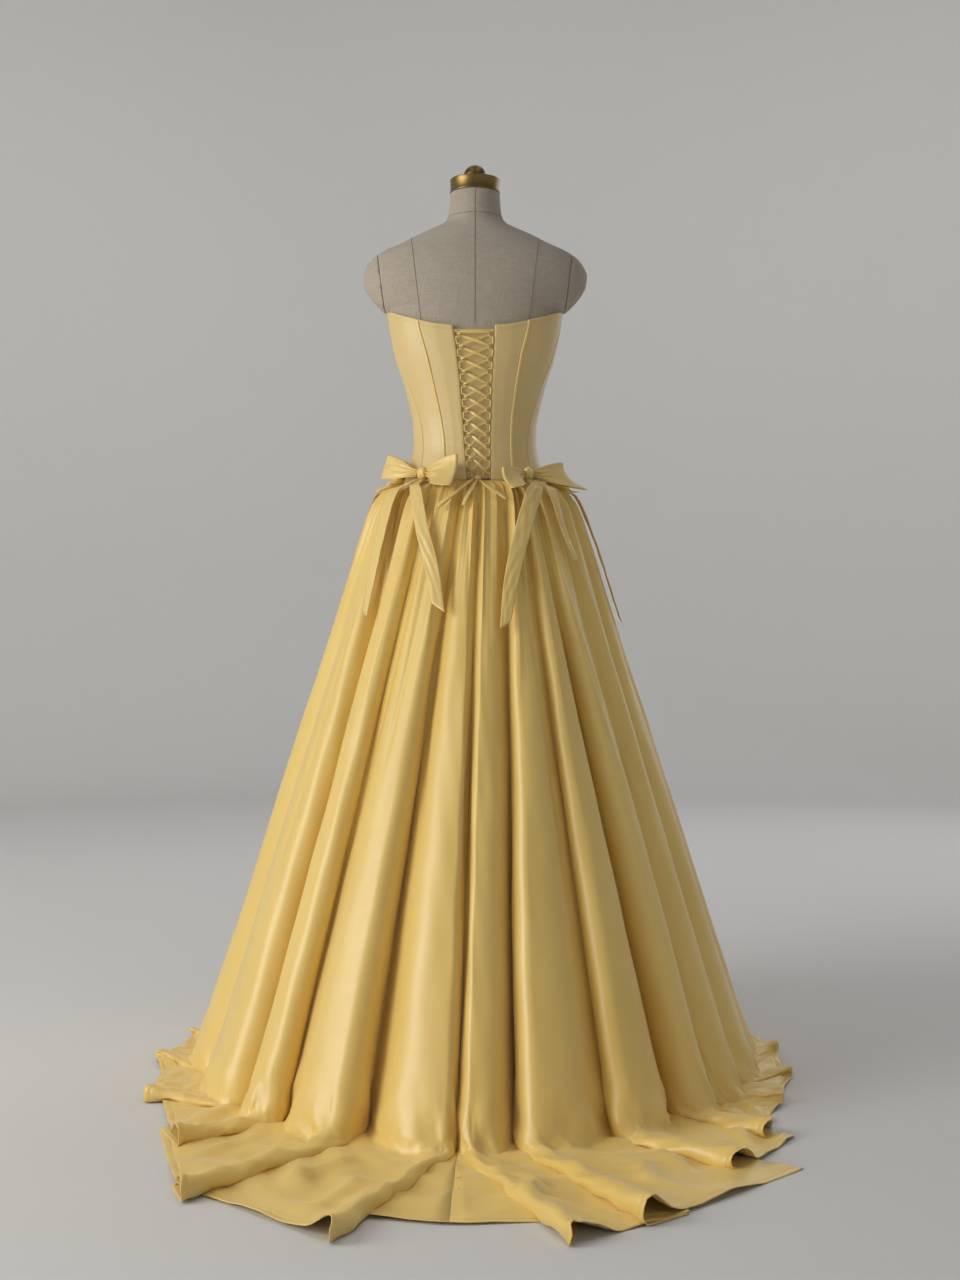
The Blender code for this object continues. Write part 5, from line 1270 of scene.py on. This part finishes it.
def build_lace_bow(ribbon):
    """Knot, one small loop and the two free ends of the lace."""
    knot_az = float(az_of_x(LACE_KNOT[0], 1.064))
    centre = garment_point(knot_az, 1.0615, 0.0090)
    lump = knot_mesh(centre, (0.0058, 0.0040, 0.0053), 0.0, 2.0)
    knot = add_piece("lace_knot_satin", lump, ribbon, ["lace_knot"])
    rows = []
    for az, z, width, clear in ((knot_az + 3.4, 1.0610, 0.004, 0.0100), (5.0, 1.0480, 0.005, 0.0130),
                                (12.0, 1.0250, 0.005, 0.0125), (17.0, 1.0110, 0.005, 0.0100),
                                (18.0, 1.0060, 0.005, 0.0090), (16.0, 1.0120, 0.005, 0.0075),
                                (9.0, 1.0340, 0.005, 0.0070), (5.0, 1.0470, 0.005, 0.0075),
                                (knot_az + 3.4, 1.0560, 0.004, 0.0070)):
        swing = math.degrees(0.35 * width / 0.13)
        rows.append([garment_point(az - swing, z - 0.35 * width, clear),
                     garment_point(az + swing, z + 0.35 * width, clear)])
    grid = np.array(rows)
    seat_end(grid, 0, LACE_WALL, knot)
    loop = sheet_mesh(ribbon_grid(grid, 6, 5), LACE_WALL)
    add_piece("lace_bow_loop_satin", loop, ribbon, ["lace_bow_loop"])
    for name, way, points in (
            ("lace_end_right", -1, ((-1.9, 1.0560, 0.003, 0.0090), (-4.5, 1.0450, 0.005, 0.0070),
                                    (-10.0, 1.0320, 0.006, 0.0060), (-14.0, 1.0200, 0.004, 0.0060))),
            ("lace_end_left", 1, ((1.0, 1.0540, 0.003, 0.0070), (3.0, 1.0440, 0.005, 0.0045),
                                  (6.0, 1.0260, 0.006, 0.0030), (8.0, 1.0080, 0.004, 0.0030)))):
        rows = []
        for az, z, width, clear in points:
            swing = math.degrees(0.42 * width / 0.14)
            az += knot_az
            rows.append([garment_point(az - way * swing, z - 0.25 * width, clear),
                         garment_point(az + way * swing, z + 0.25 * width, clear)])
        grid = np.array(rows)
        seat_end(grid, 0, LACE_WALL, knot)
        end = sheet_mesh(ribbon_grid(grid, 8, 5), LACE_WALL)
        add_piece(name + "_satin", end, ribbon, [name])


# Form and stand

def form_ring(z, az):
    """Points of the form's surface at a height; inside the bodice it follows the bodice."""
    if z < FORM_LOWER[-1][0]:
        table, under = FORM_LOWER, 0.0
    elif z < 1.055:
        table, under = FORM_LOWER, (z - 1.010) / 0.045
    elif z <= CHEST_Z:
        table, under = None, 1.0
    else:
        table, under = FORM_UPPER, max(0.0, (1.382 - z) / 0.010)
    near = np.maximum(0.0, 1.0 - np.abs(az) / 50.0)
    inset = FORM_GAP + LACED_GAP * (3 * near ** 2 - 2 * near ** 3)
    body = oval(az, *bodice_ring(z), out=-inset)
    if table is None:
        xy = body
    else:
        plain = oval(az, *(curve_value(table, k, z) for k in (1, 2, 3, 4)))
        xy = plain * (1 - under) + body * under
    return np.concatenate([xy, np.full((len(az), 1), z)], axis=1)


def ring_stack(heights):
    """Closed mesh of the form between the first height and the last."""
    segments = 120
    az = 360.0 * np.arange(segments) / segments - 180.0
    grid = np.array([form_ring(z, az) for z in heights])
    return poly_mesh(grid.reshape(-1, 3), capped_faces(len(heights), segments))


def cut_flat(mesh, side, x_shift, keep_inside):
    """Cuts the form's shoulder with the arm plate's plane and keeps one side of it."""
    x0, z0, x1, z1 = ARM_PLANE
    slope = (x1 - x0) / (z1 - z0)
    bm = bmesh.new()
    bm.from_mesh(mesh)
    geom = [v for v in bm.verts if v.co.z > CHEST_Z - 0.001]
    high = set(geom)
    geom += [e for e in bm.edges if all(v in high for v in e.verts)]
    geom += [f for f in bm.faces if all(v in high for v in f.verts)]
    cut = bmesh.ops.bisect_plane(bm, geom=geom, dist=1e-7, plane_co=(side * (x0 + x_shift), 0.0, z0),
                                 plane_no=(side, 0.0, -slope), clear_outer=keep_inside,
                                 clear_inner=not keep_inside)
    edges = [e for e in cut["geom_cut"] if isinstance(e, bmesh.types.BMEdge)]
    filled = bmesh.ops.holes_fill(bm, edges=edges, sides=0)
    for face in filled["faces"]:
        face.smooth = False
    bm.to_mesh(mesh)
    bm.free()


def seam_azimuth(z, x, first, last):
    """Azimuth between first and last at which the form is x from its middle."""
    az = np.linspace(first, last, 120)
    across = form_ring(z, az)[:, 0]
    return float(np.interp(x, across, az))


def surface_line(az, heights, out):
    """Path on the form's surface."""
    points = []
    for a, z in zip(az, heights):
        p = form_ring(z, np.array([a]))[0]
        size = np.hypot(p[0], p[1])
        points.append((p[0] * (1 + out / size), p[1] * (1 + out / size), z))
    return np.array(points)


def build_form(linen, seam_linen):
    """Linen-covered torso with flat arm plates, its seams felled."""
    heights = np.concatenate([[0.862, 0.866], np.linspace(0.870, 1.33, 24), np.linspace(1.336, NECK_Z, 74)])
    torso = ring_stack(heights)
    for side in (1, -1):
        cut_flat(torso, side, -ARM_GAP, True)
    add_piece("form_torso_linen", torso, linen, ["form_torso"])
    for name, side in (("form_arm_plate_left", 1), ("form_arm_plate_right", -1)):
        plate = ring_stack(np.linspace(CHEST_Z, NECK_Z, 66))
        cut_flat(plate, side, ARM_GAP, False)
        add_piece(name + "_linen", plate, linen, [name])
    # Seams down the centre back and front, two more each side, and one round the neck.
    raised = 0.0002
    lines = [surface_line(np.zeros(40), np.linspace(1.345, 1.604, 40), raised),
             surface_line(np.full(40, 179.9), np.linspace(1.385, 1.604, 40), raised)]
    for sign in (1, -1):
        for bottom, first, last in ((1.350, 0.0, 90.0), (1.388, 180.0, 90.0)):
            z = np.linspace(bottom, 1.5185, 50)
            az = [seam_azimuth(h, 0.099 + 0.016 * (h - 1.36) / 0.133, first, last) for h in z]
            lines.append(surface_line(sign * np.array(az), z, raised))
    lines.append(surface_line(np.linspace(-180, 180, 90), np.full(90, 1.560), raised))
    along_paths("form_seams", lines, "tube_along_path", {"Radius": 0.0007, "Sides": 8}, seam_linen)


def turned_mesh(profile, segments):
    """Turned piece from (radius, z) pairs that start and end on the axis."""
    verts, faces = [(0.0, 0.0, profile[0][1])], []
    for radius, z in profile[1:-1]:
        for s in range(segments):
            a = 2 * math.pi * s / segments
            verts.append((radius * math.cos(a), radius * math.sin(a), z))
    verts.append((0.0, 0.0, profile[-1][1]))
    rings = len(profile) - 2
    for s in range(segments):
        n = (s + 1) % segments
        faces.append((0, 1 + n, 1 + s))
        for r in range(rings - 1):
            a, b = 1 + r * segments, 1 + (r + 1) * segments
            faces.append((a + s, a + n, b + n, b + s))
        a = 1 + (rings - 1) * segments
        faces.append((a + s, a + n, len(verts) - 1))
    return poly_mesh(verts, faces)


def build_metal(brass, paint):
    """Neck cap with its rolled edges, the ball on it, and the paint of the pole and the base."""
    cap = [(0, 1.6063), (0.0440, 1.6063)]
    for k in range(5):
        a = math.radians(-90 + 22.5 * k)
        cap.append((0.0455 + 0.0016 * math.cos(a), 1.6079 + 0.0016 * math.sin(a)))
    cap += [(0.0462, 1.6098), (0.0462, 1.6270)]
    for k in range(7):
        a = math.radians(-40 + 25 * k)
        cap.append((0.0448 + 0.0021 * math.cos(a), 1.6300 + 0.0021 * math.sin(a)))
    cap += [(0.0400, 1.6322), (0.0240, 1.6338), (0.0228, 1.6345), (0, 1.6346)]
    add_piece("neck_cap_brass", turned_mesh(cap, 72), brass, ["neck_cap"])
    ball = [(0, 1.6348), (0.0150, 1.6348), (0.0165, 1.6352), (0.0168, 1.6362), (0.0195, 1.6366)]
    for k in range(15):
        a = math.radians(-3 + k * 6.4)
        ball.append((0.0215 * math.cos(a), 1.6378 + 0.0215 * math.sin(a)))
    ball.append((0, 1.6593))
    add_piece("neck_finial_brass", turned_mesh(ball, 56), brass,
              ["neck_finial"])
    for name in ("stand_pole", "stand_base"):
        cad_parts[name].material_slots[0].material = paint


# Operators

def sizes_and_colours(context):
    """The two groups of values that a user may change."""
    return context.scene.gown_sizes, context.scene.gown_colours


def cloth(name):
    """A cloth, metal or paint by its name."""
    return bpy.data.materials[name]


class GOWN_OT_cloths(bpy.types.Operator):
    """Mixes the cloths, metals and paint that the pieces are made of"""
    bl_idname = "gown.cloths"
    bl_label = "Cloths and metals"

    def execute(self, context):
        _, colours = sizes_and_colours(context)
        duchesse_satin("skirt duchesse satin", tuple(colours.skirt))
        duchesse_satin("bodice duchesse satin", tuple(colours.bodice), roughness=0.44, sheen=0.12)
        duchesse_satin("ribbon satin", tuple(colours.ribbon), roughness=0.34, sheen=0.15)
        duchesse_satin("sewing thread", shade(tuple(colours.skirt), (0.80, 0.74, 0.62))[:3], roughness=0.6)
        plain_linen("form linen", tuple(colours.linen))
        plain_linen("form seam linen", shade(tuple(colours.linen), (0.70, 0.69, 0.67))[:3])
        antique_brass("antique brass", tuple(colours.brass))
        stand_paint("stand enamel", tuple(colours.steel))
        tube_tree()
        stitch_tree()
        return {"FINISHED"}


class GOWN_OT_form(bpy.types.Operator):
    """Covers the dress form and finishes its metal"""
    bl_idname = "gown.form"
    bl_label = "Dress form"

    def execute(self, context):
        build_form(cloth("form linen"), cloth("form seam linen"))
        build_metal(cloth("antique brass"), cloth("stand enamel"))
        return {"FINISHED"}


class GOWN_OT_bodice(bpy.types.Operator):
    """Cuts and bones the bodice panels"""
    bl_idname = "gown.bodice"
    bl_label = "Bodice"

    def execute(self, context):
        sizes, _ = sizes_and_colours(context)
        build_bodice(sizes, cloth("bodice duchesse satin"), cloth("ribbon satin"), cloth("sewing thread"))
        return {"FINISHED"}


class GOWN_OT_lacing(bpy.types.Operator):
    """Sews on the rouleau loops and laces the back"""
    bl_idname = "gown.lacing"
    bl_label = "Lacing"

    def execute(self, context):
        sizes, _ = sizes_and_colours(context)
        build_loops(sizes, cloth("ribbon satin"))
        build_lace(sizes, cloth("ribbon satin"))
        build_lace_bow(cloth("ribbon satin"))
        return {"FINISHED"}


class GOWN_OT_skirt(bpy.types.Operator):
    """Gathers and drapes the skirt with its train"""
    bl_idname = "gown.skirt"
    bl_label = "Skirt"

    def execute(self, context):
        sizes, _ = sizes_and_colours(context)
        build_skirt(sizes, cloth("skirt duchesse satin"), cloth("sewing thread"))
        return {"FINISHED"}


class GOWN_OT_bows(bpy.types.Operator):
    """Ties the ribbon bows at the waist seam"""
    bl_idname = "gown.bows"
    bl_label = "Bows"

    def execute(self, context):
        sizes, _ = sizes_and_colours(context)
        build_bows(sizes, cloth("ribbon satin"))
        return {"FINISHED"}


class GOWN_OT_studio(bpy.types.Operator):
    """Sets the pale sweep, the soft lights and the camera"""
    bl_idname = "gown.studio"
    bl_label = "Studio"

    def execute(self, context):
        build_studio(context.scene)
        return {"FINISHED"}


def paper_sweep():
    """Round of paper that curves up into a wall."""
    floor, bend, wall, steps, segments, sunk = 4.9, 1.1, (2.0, 3.4, 5.0), 12, 96, 0.0002
    profile = [(1.2, 0.0), (2.5, 0.0), (3.8, 0.0), (floor, 0.0)]
    for k in range(1, steps + 1):
        a = math.radians(90 * k / steps)
        profile.append((floor + bend * math.sin(a), bend - bend * math.cos(a)))
    profile += [(floor + bend, z) for z in wall]
    verts, faces = [(0.0, 0.0, -sunk)], []
    for radius, z in profile:
        for s in range(segments):
            a = 2 * math.pi * s / segments
            verts.append((radius * math.cos(a), radius * math.sin(a), z - sunk))
    for s in range(segments):
        n = (s + 1) % segments
        faces.append((0, 1 + s, 1 + n))
        for r in range(len(profile) - 1):
            a, b = 1 + r * segments, 1 + (r + 1) * segments
            faces.append((a + s, b + s, b + n, a + n))
    mesh = bpy.data.meshes.new("studio_sweep")
    mesh.from_pydata(verts, [], faces)
    mesh.polygons.foreach_set("use_smooth", [True] * len(mesh.polygons))
    mesh.materials.append(studio_paper("studio paper", PAPER_COLOUR))
    return mesh


def add_light(scene, name, place, turn, size, power, colour=(1.0, 1.0, 1.0)):
    """Soft rectangular light."""
    light = bpy.data.lights.new(name, "AREA")
    light.shape = "RECTANGLE"
    light.size, light.size_y = size
    light.energy, light.color = power, colour
    lamp = bpy.data.objects.new(name, light)
    lamp.location, lamp.rotation_euler = place, turn
    scene.collection.objects.link(lamp)


def build_studio(scene):
    """Paper sweep, window light and fill, a wash on each wall, and the camera of the photo."""
    sweep = bpy.data.objects.new("studio_sweep", paper_sweep())
    scene.collection.objects.link(sweep)
    for name, place, aim, size, power, colour in LIGHTS:
        way = np.array(aim) - np.array(place)
        turn = (math.atan2(math.hypot(way[0], way[1]), -way[2]), 0.0, math.atan2(way[0], -way[1]) + math.pi)
        add_light(scene, name, place, turn, size, power, linear(colour))
    for k, power in enumerate(WALL_WASHES):
        a = math.radians(90 * k)
        add_light(scene, f"wall_wash_{k}", (WASH_REACH * math.sin(a), WASH_REACH * math.cos(a), WASH_Z),
                  (math.radians(WASH_TILT), 0.0, -a), (3.6, 0.8), power)
    world = bpy.data.worlds.new("studio_air")
    world.use_nodes = True
    set_inputs(world.node_tree, world.node_tree.nodes["Background"], {
        "Color": (*linear(AIR_COLOUR), 1.0), "Strength": AIR_STRENGTH})
    scene.world = world
    camera = bpy.data.cameras.new("photo_camera")
    camera.lens, camera.sensor_width, camera.sensor_height = CAMERA_LENS, CAMERA_SENSOR, CAMERA_SENSOR
    eye = bpy.data.objects.new("photo_camera", camera)
    eye.location = CAMERA_PLACE
    eye.rotation_euler = (math.pi / 2, 0.0, math.pi)
    scene.collection.objects.link(eye)
    scene.camera = eye
    scene.view_settings.view_transform = "Standard"
    scene.view_settings.look = "None"


class GOWN_PT_panel(bpy.types.Panel):
    """The gown's steps, sizes and colours"""
    bl_label = "Gown"
    bl_idname = "GOWN_PT_panel"
    bl_space_type = "VIEW_3D"
    bl_region_type = "UI"
    bl_category = "Gown"

    def draw(self, context):
        for step in STEPS:
            self.layout.operator(step)
        for group in sizes_and_colours(context):
            for key in group.bl_rna.properties.keys():
                if key not in ("rna_type", "name"):
                    self.layout.prop(group, key)


CLASSES = (GownSizes, GownColours, GOWN_OT_cloths, GOWN_OT_form, GOWN_OT_bodice, GOWN_OT_lacing,
           GOWN_OT_skirt, GOWN_OT_bows, GOWN_OT_studio, GOWN_PT_panel)
# The operators in their order, as main calls them.
STEPS = ("gown.cloths", "gown.form", "gown.bodice", "gown.lacing", "gown.skirt", "gown.bows", "gown.studio")


def register():
    """Registers the classes and the scene's two groups of values."""
    for item in CLASSES:
        bpy.utils.register_class(item)
    bpy.types.Scene.gown_sizes = PointerProperty(type=GownSizes)
    bpy.types.Scene.gown_colours = PointerProperty(type=GownColours)


def unregister():
    """Takes the classes and the groups away again."""
    del bpy.types.Scene.gown_colours
    del bpy.types.Scene.gown_sizes
    for item in reversed(CLASSES):
        bpy.utils.unregister_class(item)


def main():
    """Builds the gown and its stage."""
    register()
    bpy.ops.gown.cloths()
    bpy.ops.gown.form()
    bpy.ops.gown.bodice()
    bpy.ops.gown.lacing()
    bpy.ops.gown.skirt()
    bpy.ops.gown.bows()
    bpy.ops.gown.studio()
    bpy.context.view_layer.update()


if __name__ == "__main__":
    main()
